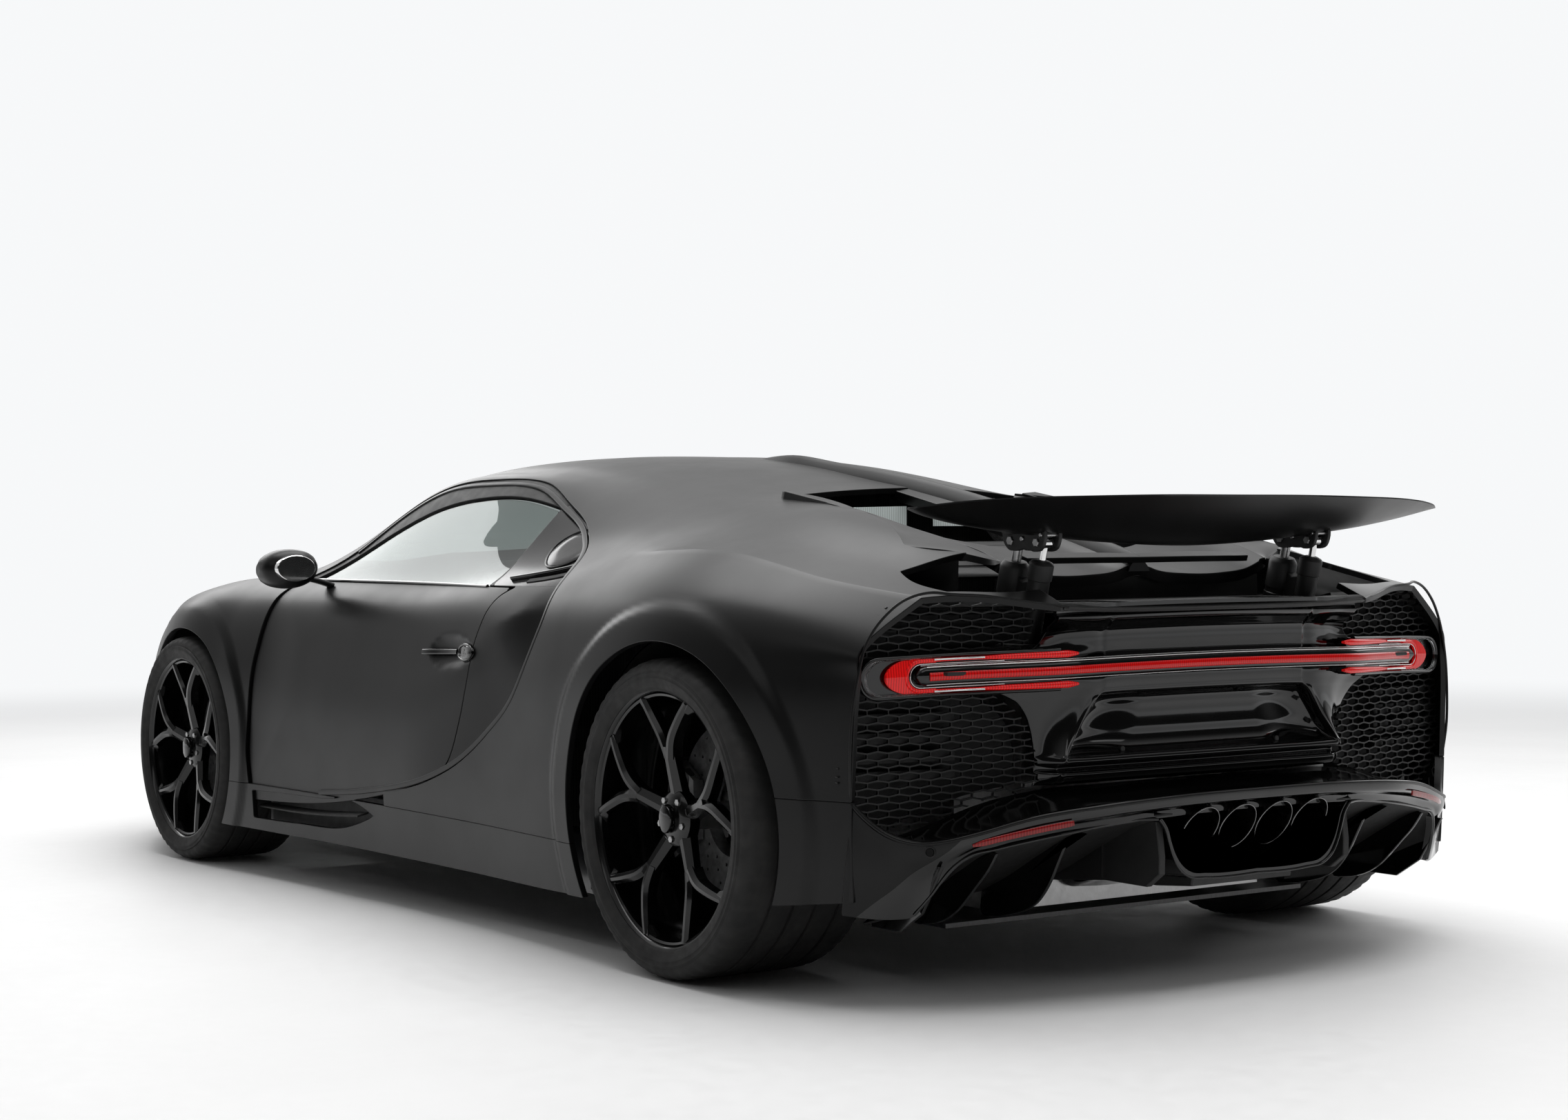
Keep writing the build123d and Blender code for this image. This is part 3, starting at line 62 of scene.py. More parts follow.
def hermite(knots, values, at):
    """Smooth curve through the values at the knots, sampled at other places."""
    knots = np.asarray(knots, float)
    values = np.asarray(values, float)
    gap = np.diff(knots)[:, None]
    secant = np.diff(values, axis=0) / gap
    slope = np.empty_like(values)
    slope[1:-1] = (secant[:-1] * gap[1:] + secant[1:] * gap[:-1]) / (gap[1:] + gap[:-1])
    slope[0] = 1.5 * secant[0] - 0.5 * slope[min(1, len(slope) - 1)] if len(slope) > 2 else secant[0]
    slope[-1] = 1.5 * secant[-1] - 0.5 * slope[-2] if len(slope) > 2 else secant[0]
    at = np.asarray(at, float)
    i = np.clip(np.searchsorted(knots, at, side="right") - 1, 0, len(knots) - 2)
    span = (knots[i + 1] - knots[i])[:, None]
    t = (at[:, None] - knots[i][:, None]) / span
    return (values[i] * (2 * t**3 - 3 * t**2 + 1) + values[i + 1] * (3 * t**2 - 2 * t**3)
            + slope[i] * span * (t**3 - 2 * t**2 + t) + slope[i + 1] * span * (t**3 - t**2))


def curve(points, step=12.0):
    """Points along a smooth curve through the given ones, about a step apart."""
    points = np.asarray(points, float)
    knots = np.r_[0, np.cumsum(np.linalg.norm(np.diff(points, axis=0), axis=1))]
    count = max(2, int(knots[-1] / step) + 1)
    return hermite(knots, points, np.linspace(0, knots[-1], count))


def outline(*runs, step=12.0):
    """A closed outline from smooth runs that meet at corners."""
    return np.concatenate([curve(run, step)[:-1] for run in runs])


def unit(v):
    return v / np.maximum(np.linalg.norm(v, axis=-1, keepdims=True), 1e-9)


# ---- Meshes as arrays: vertices, normals, triangles ----------------------------------------------
def grid_mesh(points, flip=False):
    """Triangles over a grid of points, with normals from the grid's own slopes."""
    along, across = np.gradient(points, axis=0), np.gradient(points, axis=1)
    normals = unit(np.cross(across, along))
    rows, cols = points.shape[:2]
    index = np.arange(rows * cols).reshape(rows, cols)
    a, b = index[:-1, :-1].ravel(), index[1:, :-1].ravel()
    c, d = index[1:, 1:].ravel(), index[:-1, 1:].ravel()
    tris = np.concatenate([np.stack([a, c, b], 1), np.stack([a, d, c], 1)])
    if flip:
        tris = tris[:, ::-1]
        normals = -normals
    return points.reshape(-1, 3), normals.reshape(-1, 3), tris


def signed_distance(points, poly):
    """Distance to a closed outline, positive inside it."""
    start = poly
    edge = np.roll(poly, -1, axis=0) - poly
    length2 = np.maximum((edge**2).sum(1), 1e-12)
    out = np.empty(len(points))
    for i in range(0, len(points), 20000):
        p = points[i:i + 20000]
        rel = p[:, None, :] - start[None]
        t = np.clip((rel * edge[None]).sum(2) / length2, 0, 1)
        near = np.sqrt((((rel - t[..., None] * edge[None])**2).sum(2)).min(1))
        y0, y1 = start[:, 1], np.roll(start[:, 1], -1)
        crosses = (y0[None] > p[:, 1:2]) != (y1[None] > p[:, 1:2])
        with np.errstate(all="ignore"):
            x = start[:, 0] + (p[:, 1:2] - y0) / (y1 - y0) * edge[:, 0]
        inside = (crosses & (p[:, 0:1] < x)).sum(1) % 2 == 1
        out[i:i + 20000] = np.where(inside, near, -near)
    return out


def within(poly, axes, gap=0.0):
    """Field that keeps what lies inside an outline, less a gap. axes picks two of x, y, z."""
    return lambda v: signed_distance(flat(v, axes), poly) - gap


def beyond(poly, axes, gap=0.0):
    """Field that keeps what lies outside an outline, less a gap."""
    return lambda v: -signed_distance(flat(v, axes), poly) - gap


def flat(v, axes):
    picked = v[:, ["xyz".index(axes[0]), "xyz".index(axes[1])]].copy()
    for k in (0, 1):
        if axes[k] == "y":
            picked[:, k] = -np.abs(picked[:, k])
    return picked


def disc(x, z, radius):
    """Field that is positive outside a circle seen from the side."""
    return lambda v: np.hypot(v[:, 0] - x, v[:, 2] - z) - radius


def clip(mesh, *fields):
    """Keeps the parts of a triangle mesh where every field is positive, cut exactly at zero."""
    verts, normals, tris = mesh
    for field in fields:
        if len(tris) == 0:
            break
        value = field(verts)
        value = np.where(np.abs(value) < 1e-6, 1e-6, value)
        inside = value > 0
        kept = inside[tris].sum(1)
        whole = tris[kept == 3]
        parts, cut_keys, made = [whole], [], []
        for count, odd_inside in ((1, True), (2, False)):
            some = tris[kept == count]
            if len(some) == 0:
                continue
            odd = np.argmax(inside[some] == odd_inside, axis=1)
            order = (odd[:, None] + np.arange(3)) % 3
            some = np.take_along_axis(some, order, 1)
            made.append((some, odd_inside))
            cut_keys += [some[:, [0, 1]], some[:, [0, 2]]]
        if cut_keys:
            keys = np.sort(np.concatenate(cut_keys), axis=1)
            unique, inverse = np.unique(keys, axis=0, return_inverse=True)
            inverse = inverse.ravel()
            v0, v1 = value[unique[:, 0]], value[unique[:, 1]]
            t = (v0 / (v0 - v1))[:, None]
            base = len(verts)
            verts = np.r_[verts, verts[unique[:, 0]] * (1 - t) + verts[unique[:, 1]] * t]
            normals = np.r_[normals, unit(normals[unique[:, 0]] * (1 - t) + normals[unique[:, 1]] * t)]
            at = 0
            for some, odd_inside in made:
                n = len(some)
                p = base + inverse[at:at + n]
                q = base + inverse[at + n:at + 2 * n]
                at += 2 * n
                if odd_inside:
                    parts.append(np.stack([some[:, 0], p, q], 1))
                else:
                    parts += [np.stack([some[:, 1], some[:, 2], q], 1), np.stack([some[:, 1], q, p], 1)]
        tris = np.concatenate(parts)
        used, new = np.unique(tris, return_inverse=True)
        verts, normals, tris = verts[used], normals[used], new.reshape(-1, 3)
        area = np.linalg.norm(np.cross(verts[tris[:, 1]] - verts[tris[:, 0]],
                                       verts[tris[:, 2]] - verts[tris[:, 0]]),
                              axis=1)
        tris = tris[area > 1e-7]
    return verts, normals, tris


def mirrored(mesh):
    verts, normals, tris = mesh
    side = np.array([1, -1, 1])
    return verts * side, normals * side, tris[:, ::-1]


def joined(*meshes, weld=True):
    """Several meshes as one; vertices on the centre plane are shared."""
    verts = np.concatenate([m[0] for m in meshes])
    normals = np.concatenate([m[1] for m in meshes])
    shift = np.cumsum([0] + [len(m[0]) for m in meshes[:-1]])
    tris = np.concatenate([m[2] + s for m, s in zip(meshes, shift)])
    if weld:
        middle = np.where(np.abs(verts[:, 1]) < 0.01)[0]
        if len(middle):
            keys = np.round(verts[middle] * 100).astype(int)
            unique, first, inverse = np.unique(keys, axis=0, return_index=True, return_inverse=True)
            target = np.arange(len(verts))
            target[middle] = middle[first][inverse.ravel()]
            normals[middle, 1] = 0
            normals = unit(normals)
            tris = target[tris]
    return verts, normals, tris


def rim_edges(tris):
    """Directed boundary edges of a triangle mesh."""
    edges = np.concatenate([tris[:, [0, 1]], tris[:, [1, 2]], tris[:, [2, 0]]])
    size = tris.max() + 1
    forward = edges[:, 0] * size + edges[:, 1]
    backward = edges[:, 1] * size + edges[:, 0]
    return edges[~np.isin(forward, backward)]


def shell(mesh, depth=14.0, radius=2.0, inward=None, back=False):
    """Turns a panel's edges over, rounded, down to a depth; back closes it with an inner face."""
    verts, normals, tris = mesh
    edges = rim_edges(tris)
    rim, inverse = np.unique(edges, return_inverse=True)
    local = inverse.reshape(-1, 2)
    lateral = np.cross(verts[edges[:, 1]] - verts[edges[:, 0]], normals[edges[:, 0]])
    sideways = np.zeros((len(rim), 3))
    np.add.at(sideways, local[:, 0], lateral)
    np.add.at(sideways, local[:, 1], lateral)
    n = normals[rim]
    sideways -= (sideways * n).sum(1)[:, None] * n
    sideways = unit(sideways)
    down = -n if inward is None else inward(verts[rim])
    p = verts[rim]
    all_verts, all_normals, all_tris = [verts], [normals], [tris]
    base = len(verts)
    previous = rim[local]
    rings = [(radius * math.sin(a), radius * (1 - math.cos(a)), a) for a in (0.52, 1.05, 1.57)]
    for out, drop, angle in rings:
        all_verts.append(p + sideways * out - n * drop)
        all_normals.append(unit(n * math.cos(angle) + sideways * math.sin(angle)))
        here = base + local
        all_tris += [np.stack([previous[:, 0], here[:, 0], here[:, 1]], 1),
                     np.stack([previous[:, 0], here[:, 1], previous[:, 1]], 1)]
        previous = here
        base += len(rim)
    all_verts.append(p + sideways * radius + down * depth)
    all_normals.append(sideways)
    here = base + local
    all_tris += [np.stack([previous[:, 0], here[:, 0], here[:, 1]], 1),
                 np.stack([previous[:, 0], here[:, 1], previous[:, 1]], 1)]
    base += len(rim)
    if back:
        fall = -normals if inward is None else inward(verts)
        inner = verts + fall * depth
        all_verts.append(inner)
        all_normals.append(-normals)
        all_tris.append(tris[:, ::-1] + base)
        low, deep = here, base + rim[local]
        all_tris += [np.stack([low[:, 0], deep[:, 0], deep[:, 1]], 1),
                     np.stack([low[:, 0], deep[:, 1], low[:, 1]], 1)]
    return np.concatenate(all_verts), np.concatenate(all_normals), np.concatenate(all_tris)


def add_mesh(name, mesh, material, body="chassis", replaces=(), smooth=True, sharp=None):
    """A mesh object from arrays in millimetres, riding on a body."""
    verts, normals, faces = mesh
    data = bpy.data.meshes.new(name)
    verts = np.asarray(verts, np.float32) * MM
    if isinstance(faces, np.ndarray):
        data.vertices.add(len(verts))
        data.vertices.foreach_set("co", verts.ravel())
        data.loops.add(len(faces) * 3)
        data.loops.foreach_set("vertex_index", faces.ravel().astype(np.int32))
        data.polygons.add(len(faces))
        data.polygons.foreach_set("loop_start", np.arange(0, len(faces) * 3, 3, dtype=np.int32))
        data.polygons.foreach_set("loop_total", np.full(len(faces), 3, np.int32))
        data.update(calc_edges=True)
    else:
        data.from_pydata(verts.tolist(), [], faces)
    data.validate()
    data.polygons.foreach_set("use_smooth", np.full(len(data.polygons), smooth))
    if normals is not None and len(data.vertices) == len(normals):
        data.normals_split_custom_set_from_vertices(np.asarray(normals, np.float32))
    elif sharp is not None:
        data.set_sharp_from_angle(angle=math.radians(sharp))
    piece = bpy.data.objects.new(name, data)
    bpy.context.scene.collection.objects.link(piece)
    if material is not None:
        for one in (material if isinstance(material, (list, tuple)) else [material]):
            data.materials.append(one)
    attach(piece, body)
    if replaces:
        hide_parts(*replaces)
    return piece


# ---- Materials: each is a small node network, with no image and no flat colour -------------------
class Look:
    """One procedural material, built node by node."""

    def __init__(self, name, **sockets):
        self.material = bpy.data.materials.new(name)
        self.material.use_nodes = True
        self.tree = self.material.node_tree
        self.shader = self.tree.nodes["Principled BSDF"]
        for socket, value in sockets.items():
            self.shader.inputs[socket.replace("_", " ")].default_value = value
        self.where = self.tree.nodes.new("ShaderNodeTexCoord").outputs["Object"]

    def node(self, kind, inputs=None, **settings):
        node = self.tree.nodes.new("ShaderNode" + kind)
        for key, value in settings.items():
            setattr(node, key, value)
        for key, value in (inputs or {}).items():
            if isinstance(value, bpy.types.NodeSocket):
                self.tree.links.new(value, node.inputs[key])
            else:
                node.inputs[key].default_value = value
        return node

    def stretched(self, scale):
        return self.node("Mapping", {"Vector": self.where, "Scale": scale}).outputs["Vector"]

    def noise(self, scale, detail=4.0, where=None):
        return self.node("TexNoise", {"Vector": where or self.where, "Scale": scale,
                                      "Detail": detail}).outputs["Fac"]

    def range(self, value, low, high, from_low=0.3, from_high=0.7):
        return self.node("MapRange", {"Value": value, "From Min": from_low, "From Max": from_high,
                                      "To Min": low, "To Max": high}).outputs["Result"]

    def ramp(self, value, *stops):
        ramp = self.node("ValToRGB", {"Fac": value})
        elements = ramp.color_ramp.elements
        while len(elements) < len(stops):
            elements.new(0.5)
        for element, (place, colour) in zip(elements, stops):
            element.position = place
            element.color = (*colour, 1)
        return ramp.outputs["Color"]

    def set(self, socket, value):
        self.tree.links.new(value, self.shader.inputs[socket])

    def bump(self, height, strength, distance):
        bump = self.node("Bump", {"Height": height, "Strength": strength, "Distance": distance})
        self.set("Normal", bump.outputs["Normal"])


def grey(v, tint=1.0):
    return (v, v, v * tint)


def paint_material(name, level, rough, coat=0.0, coat_rough=0.1, specular=0.5):
    """Painted panel: slight variation of colour and gloss, fine orange peel."""
    look = Look(name, Coat_Weight=coat, Coat_Roughness=coat_rough, Specular_IOR_Level=specular)
    slow = look.noise(2.2, 3.0)
    look.set("Base Color", look.ramp(slow, (0.3, grey(level * 0.92, 1.04)), (0.7, grey(level * 1.08, 1.02))))
    look.set("Roughness", look.range(look.noise(9.0, 5.0), rough - 0.025, rough + 0.025))
    look.bump(look.noise(420.0, 2.0), 0.05, 0.0004)
    return look.material


def plastic_material(name, level, rough, grain=900.0, depth=0.25):
    """Moulded plastic with a fine grain."""
    look = Look(name, Specular_IOR_Level=0.45)
    look.set("Base Color", look.ramp(look.noise(6.0, 4.0), (0.3, grey(level * 0.85)),
                                     (0.7, grey(level * 1.15))))
    look.set("Roughness", look.range(look.noise(30.0, 4.0), rough - 0.05, rough + 0.05))
    grains = look.node("TexVoronoi", {"Vector": look.where, "Scale": grain}).outputs["Distance"]
    look.bump(grains, depth, 0.0003)
    return look.material


def metal_material(name, level, rough, stretch=(1, 1, 40), tint=1.0, dirt=0.0):
    """Brushed or cast metal, the brushing along the stretched axis."""
    look = Look(name, Metallic=1.0)
    brushed = look.noise(60.0, 5.0, look.stretched(stretch))
    look.set("Base Color", look.ramp(brushed, (0.3, grey(level * (0.9 - dirt), tint)),
                                     (0.7, grey(level, tint))))
    look.set("Roughness", look.range(brushed, rough * 0.8, rough * 1.25))
    look.bump(brushed, 0.08, 0.0003)
    return look.material


def carbon_material():
    """Twill: two crossed sets of threads that catch the light in turn, under clear lacquer."""
    look = Look("carbon", Coat_Weight=0.35, Coat_Roughness=0.15)
    weave = look.node("TexBrick", {"Vector": look.stretched((1, 1, 1)), "Scale": 120.0,
                                   "Color1": (0.006, 0.006, 0.007, 1),
                                   "Color2": (0.022, 0.022, 0.024, 1), "Mortar": (0.003, 0.003, 0.003, 1),
                                   "Mortar Size": 0.01, "Brick Width": 1.0, "Row Height": 0.5}, offset=0.5)
    look.set("Base Color", weave.outputs["Color"])
    look.set("Roughness", look.range(weave.outputs["Fac"], 0.3, 0.5, 0, 1))
    look.bump(weave.outputs["Fac"], 0.15, 0.0002)
    return look.material


def rubber_material():
    look = Look("tyre_rubber", Specular_IOR_Level=0.35)
    look.set("Base Color", look.ramp(look.noise(14.0, 6.0), (0.35, (0.012, 0.012, 0.012)),
                                     (0.62, (0.020, 0.0195, 0.019)), (0.8, (0.030, 0.028, 0.026))))
    look.set("Roughness", look.range(look.noise(40.0, 5.0), 0.62, 0.8))
    look.bump(look.noise(700.0, 3.0), 0.25, 0.0004)
    return look.material


def glass_material(name, tint, rough=0.0):
    """Clear or tinted pane, a little uneven."""
    look = Look(name, Transmission_Weight=1.0, IOR=1.45, Roughness=rough)
    look.set("Base Color", look.ramp(look.noise(3.0, 2.0), (0.3, tuple(c * 0.96 for c in tint)), (0.7, tint)))
    return look.material


def leather_material():
    look = Look("leather", Specular_IOR_Level=0.4)
    cells = look.node("TexVoronoi", {"Vector": look.where, "Scale": 420.0}).outputs["Distance"]
    look.set("Base Color", look.ramp(look.noise(8.0, 5.0), (0.3, (0.016, 0.014, 0.014)),
                                     (0.7, (0.028, 0.025, 0.024))))
    look.set("Roughness", look.range(cells, 0.45, 0.62, 0, 0.6))
    look.bump(cells, 0.35, 0.0005)
    return look.material


def lamp_or_painted_glow_material(name, colour, glow, rough=0.12):
    """Moulded lens over a light guide: fine vertical ribs, dim glow. Also gives a pane a pale painted glow
    that stands in for reflected light.
    """
    look = Look(name, Coat_Weight=0.35, Coat_Roughness=0.05, Roughness=rough, Specular_IOR_Level=0.25,
                Emission_Strength=glow)
    ribs = look.node("TexWave", {"Vector": look.where, "Scale": 55.0, "Distortion": 0.0}, bands_direction="Y")
    shade = look.ramp(ribs.outputs["Fac"], (0.0, tuple(c * 0.55 for c in colour)), (1.0, colour))
    look.set("Base Color", shade)
    look.set("Emission Color", shade)
    look.bump(ribs.outputs["Fac"], 0.1, 0.0004)
    return look.material


def disc_material():
    """Brake disc: dark carbon-ceramic with a fine random grain."""
    look = Look("brake_disc", Metallic=0.85)
    grain = look.noise(55.0, 6.0)
    look.set("Base Color", look.ramp(grain, (0.3, grey(0.10)), (0.7, grey(0.20))))
    look.set("Roughness", look.range(look.noise(150.0, 3.0), 0.28, 0.5))
    look.bump(look.noise(260.0, 2.0), 0.12, 0.0003)
    return look.material


def exhaust_material():
    """Heat-toned steel: a dark tone that varies at random between warm and cooler grey."""
    look = Look("exhaust_steel", Metallic=1.0)
    tone = look.noise(12.0, 5.0)
    look.set("Base Color", look.ramp(tone, (0.25, (0.035, 0.033, 0.032)), (0.55, (0.060, 0.057, 0.055)),
                                     (0.8, (0.050, 0.051, 0.054))))
    look.set("Roughness", look.range(look.noise(60.0, 4.0), 0.2, 0.38))
    look.bump(look.noise(200.0, 2.0), 0.06, 0.0003)
    return look.material


def floor_material():
    """Pale studio floor that shows as plain white outside the object's shadow."""
    look = Look("floor", Specular_IOR_Level=0.2)
    look.set("Base Color", look.ramp(look.noise(1.5, 4.0), (0.3, grey(0.80)), (0.7, grey(0.83))))
    look.set("Roughness", look.range(look.noise(20.0, 4.0), 0.45, 0.6))
    reach = look.node("VectorMath", {0: look.where}, operation="LENGTH").outputs["Value"]
    far = look.node("MapRange", {"Value": reach, "From Min": 4.5, "From Max": 11.0},
                    interpolation_type="SMOOTHSTEP")
    glow = look.node("Emission", {"Color": BACKDROP, "Strength": 1.0})
    mix = look.node("MixShader", {0: far.outputs["Result"], 1: look.shader.outputs[0], 2: glow.outputs[0]})
    look.tree.links.new(mix.outputs[0], look.tree.nodes["Material Output"].inputs["Surface"])
    return look.material


BACKDROP = (0.93, 0.94, 0.95, 1)


def world_light():
    """Soft light, strongest from beyond the car and from above; white where the camera sees it."""
    world = bpy.data.worlds.new("studio")
    bpy.context.scene.world = world
    world.use_nodes = True
    nodes, links = world.node_tree.nodes, world.node_tree.links
    output = nodes["World Output"]
    dim = nodes["Background"]
    dim.inputs["Color"].default_value = (1, 1, 1, 1)
    way = nodes.new("ShaderNodeTexCoord").outputs["Generated"]

    def lobe(direction, low, high, strength):
        """Light from round one direction, from none at the lower cosine to full at the higher."""
        dot = nodes.new("ShaderNodeVectorMath")
        dot.operation = "DOT_PRODUCT"
        dot.inputs[1].default_value = direction
        links.new(way, dot.inputs[0])
        fade = nodes.new("ShaderNodeMapRange")
        fade.interpolation_type = "SMOOTHSTEP"
        for key, value in (("From Min", low), ("From Max", high), ("To Max", strength)):
            fade.inputs[key].default_value = value
        links.new(dot.outputs["Value"], fade.inputs["Value"])
        return fade.outputs["Result"]

    total = nodes.new("ShaderNodeMath")
    total.inputs[1].default_value = AROUND
    both_lobes = nodes.new("ShaderNodeMath")
    links.new(lobe(BEYOND, 0.0, 0.8, 0.62), both_lobes.inputs[0])
    links.new(lobe((0, 0, 1), 0.25, 0.95, 0.35), both_lobes.inputs[1])
    links.new(both_lobes.outputs[0], total.inputs[0])
    links.new(total.outputs[0], dim.inputs["Strength"])
    seen = nodes.new("ShaderNodeBackground")
    seen.inputs["Color"].default_value = BACKDROP
    path = nodes.new("ShaderNodeLightPath")
    mix = nodes.new("ShaderNodeMixShader")
    links.new(path.outputs["Is Camera Ray"], mix.inputs["Fac"])
    links.new(dim.outputs[0], mix.inputs[1])
    links.new(seen.outputs[0], mix.inputs[2])
    links.new(mix.outputs[0], output.inputs["Surface"])


BEYOND = (-0.80, 0.56, 0.2)     # from the camera past the car
AROUND = 0.045
body_black = paint_material("body_black", 0.0035, 0.33, specular=0.26)
gloss_black = paint_material("gloss_black", 0.002, 0.08, coat=0.4, coat_rough=0.03, specular=0.35)
satin_black = plastic_material("satin_black", 0.014, 0.5)
dark_plastic = plastic_material("dark_plastic", 0.006, 0.62)
mesh_black = plastic_material("mesh_black", 0.004, 0.42, 600.0, 0.1)
quarter_black = paint_material("quarter_black", 0.003, 0.2, coat=0.25, coat_rough=0.12, specular=0.3)
rim_black = paint_material("rim_black", 0.002, 0.16, coat=0.3, coat_rough=0.08, specular=0.3)
caliper_black = paint_material("caliper_black", 0.012, 0.3, coat=0.5)
carbon = carbon_material()
rubber = rubber_material()
leather = leather_material()
side_glass = glass_material("side_glass", (0.30, 0.36, 0.345))
screen_glass = glass_material("screen_glass", (0.56, 0.62, 0.61))
clear_lens = glass_material("clear_lens", (0.85, 0.87, 0.88), 0.05)
chrome = metal_material("chrome", 0.78, 0.07, (1, 1, 1))
steel = metal_material("steel", 0.42, 0.3)
aluminium = metal_material("aluminium", 0.5, 0.34, (1, 1, 1), dirt=0.15)
exhaust_steel = exhaust_material()
brake_disc = disc_material()
red_lens = lamp_or_painted_glow_material("red_lens", (0.50, 0.004, 0.004), 0.32)
red_glow = lamp_or_painted_glow_material("red_glow", (0.52, 0.006, 0.006), 0.55)
reflector_red = lamp_or_painted_glow_material("reflector_red", (0.30, 0.015, 0.015), 0.0)
# pale glowing pane: painted reflection of bright light, not a lamp
pane_painted_glow = lamp_or_painted_glow_material("pane_painted_glow", (0.50, 0.55, 0.54), 0.45, 0.3)
lamp_white = lamp_or_painted_glow_material("lamp_white", (0.55, 0.57, 0.60), 0.08)
chrome_black = metal_material("chrome_black", 0.22, 0.16, (1, 1, 1))


# ---- The body's skin -----------------------------------------------------------------------------
# x of each section, sweep, then (y, z) of its columns from the centre line down to the sill. A column
# stands at x + sweep * (y / 900) ** 2.5, or at x plus its own offset.
COLUMNS = ("centre", "inner", "outer", "roof edge", "belt", "shoulder", "waist", "lower", "sill")
SECTIONS = (
    (-2225, 225, (0, 640), (184, 630), (344, 610), (480, 590), (592, 565), (668, 505), (708, 400), (724, 280),
     (724, 150)),
    (-2030, 165, (0, 715), (226, 706), (425, 690), (579, 688), (697, 688), (796, 640), (860, 480), (873, 300),
     (873, 140)),
    (-1700, 60, (0, 790), (261, 782), (482, 768), (656, 778), (772, 785), (873, 745), (951, 560), (965, 330),
     (965, 140)),
    (-1290, 0, (0, 858), (290, 848), (540, 832), (700, 836), (825, 840), (940, 795), (1012, 640), (1014, 360),
     (1005, 140)),
    (-1000, 0, (0, 898), (310, 890), (560, 872), (710, 862), (825, 852), (915, 800), (985, 640), (1000, 400),
     (1000, 138)),
    (-700, 0, (0, 1050), (330, 1040), (560, 1005), (690, 950), (815, 856), (900, 800), (955, 630), (980, 400),
     (985, 138)),
    (-350, 0, (0, 1170), (330, 1160), (530, 1128), (640, 1085), (800, 870), (888, 798), (945, 620),
     (972, 400), (965, 138)),
    (50, 0, (0, 1194), (320, 1186), (530, 1152), (640, 1105), (805, 868), (885, 798), (942, 620), (970, 400),
     (955, 138)),
    (500, 0, (0, 1172), (320, 1154), (530, 1108), (670, 1035), (805, 900), (890, 830), (948, 660), (975, 420),
     (960, 140)),
    (950, 0, (0, 1108), (300, 1088), (520, 1050), (690, 985), (818, 930), (925, 850), (990, 700), (1000, 440),
     (985, 145)),
    (1421, 0, (0, 1040), (300, 1030), (520, 1015), (690, 965), (818, 940), (950, 850), (1016, 690),
     (1019, 440), (1000, 160)),
    (1800, -40, (0, 950), (300, 950), (500, 948), (660, 910), (800, 882), (905, 815), (962, 680), (965, 440),
     (950, 200)),
    (2141, (0, 0, -10, -75, -118, -146, -149, -160, -165), (0, 819), (300, 822), (470, 829), (620, 850),
     (740, 847), (857, 761), (884, 670), (892, 435), (885, 225)),
)
COLUMN_PITCH = (300, 210, 150, 170, 115, 180, 230, 260)
ACROSS = np.cumsum((0,) + COLUMN_PITCH).astype(float)
BELT = 4
CREASE_X = (850, 1150)          # the haunch's crease sharpens between these
GRID = 11.6

SKIN_X = np.linspace(SECTIONS[0][0], SECTIONS[-1][0], int((SECTIONS[-1][0] - SECTIONS[0][0]) / GRID))
SKIN_S = np.concatenate([np.linspace(a, b, int((b - a) / GRID) + 1)[:-1] for a, b in zip(ACROSS, ACROSS[1:])]
                        + [ACROSS[-1:]])


def master_grid():
    """Left half of the body's outer surface, as a grid of points along x and down the section."""
    table = []
    for row in SECTIONS:
        line = []
        for k, (y, z) in enumerate(row[2:]):
            offset = row[1][k] if isinstance(row[1], tuple) else row[1] * (y / 900) ** 2.5
            line += [offset, y, z]
        table.append(line)
    columns = hermite([row[0] for row in SECTIONS], table, SKIN_X).reshape(len(SKIN_X), len(COLUMNS), 3)
    columns = columns.transpose(1, 0, 2).reshape(len(COLUMNS), -1)
    shape = (len(SKIN_S), len(SKIN_X), 3)
    soft = hermite(ACROSS, columns, SKIN_S).reshape(shape)
    top = hermite(ACROSS[:BELT + 1], columns[:BELT + 1], np.minimum(SKIN_S, ACROSS[BELT])).reshape(shape)
    low = hermite(ACROSS[BELT:], columns[BELT:], np.maximum(SKIN_S, ACROSS[BELT])).reshape(shape)
    split = np.where((SKIN_S < ACROSS[BELT])[:, None, None], top, low)
    weight = smoothstep(*CREASE_X, SKIN_X)[None, :, None]
    grid = (soft * (1 - weight) + split * weight).transpose(1, 0, 2)
    return np.stack([SKIN_X[:, None] + grid[..., 0], -grid[..., 1], grid[..., 2]], axis=2)


# Wheel arches: centre x, wheel radius, lip radius
ARCHES = ((FRONT_X, 339.5, 366.0), (REAR_X, 355.5, 393.0))
ARCH_BAND = 85.0
ARCH_RISE = 9.0


def raise_arches(grid):
    """A flat band stands proud around each wheel opening."""
    out = grid.copy()
    for x, z, lip in ARCHES:
        r = np.hypot(grid[..., 0] - x, grid[..., 2] - z)
        rise = ARCH_RISE * (1 - smoothstep(lip + ARCH_BAND - 22, lip + ARCH_BAND + 6, r))
        out[..., 1] -= rise * smoothstep(700, 820, -grid[..., 1])
    return out


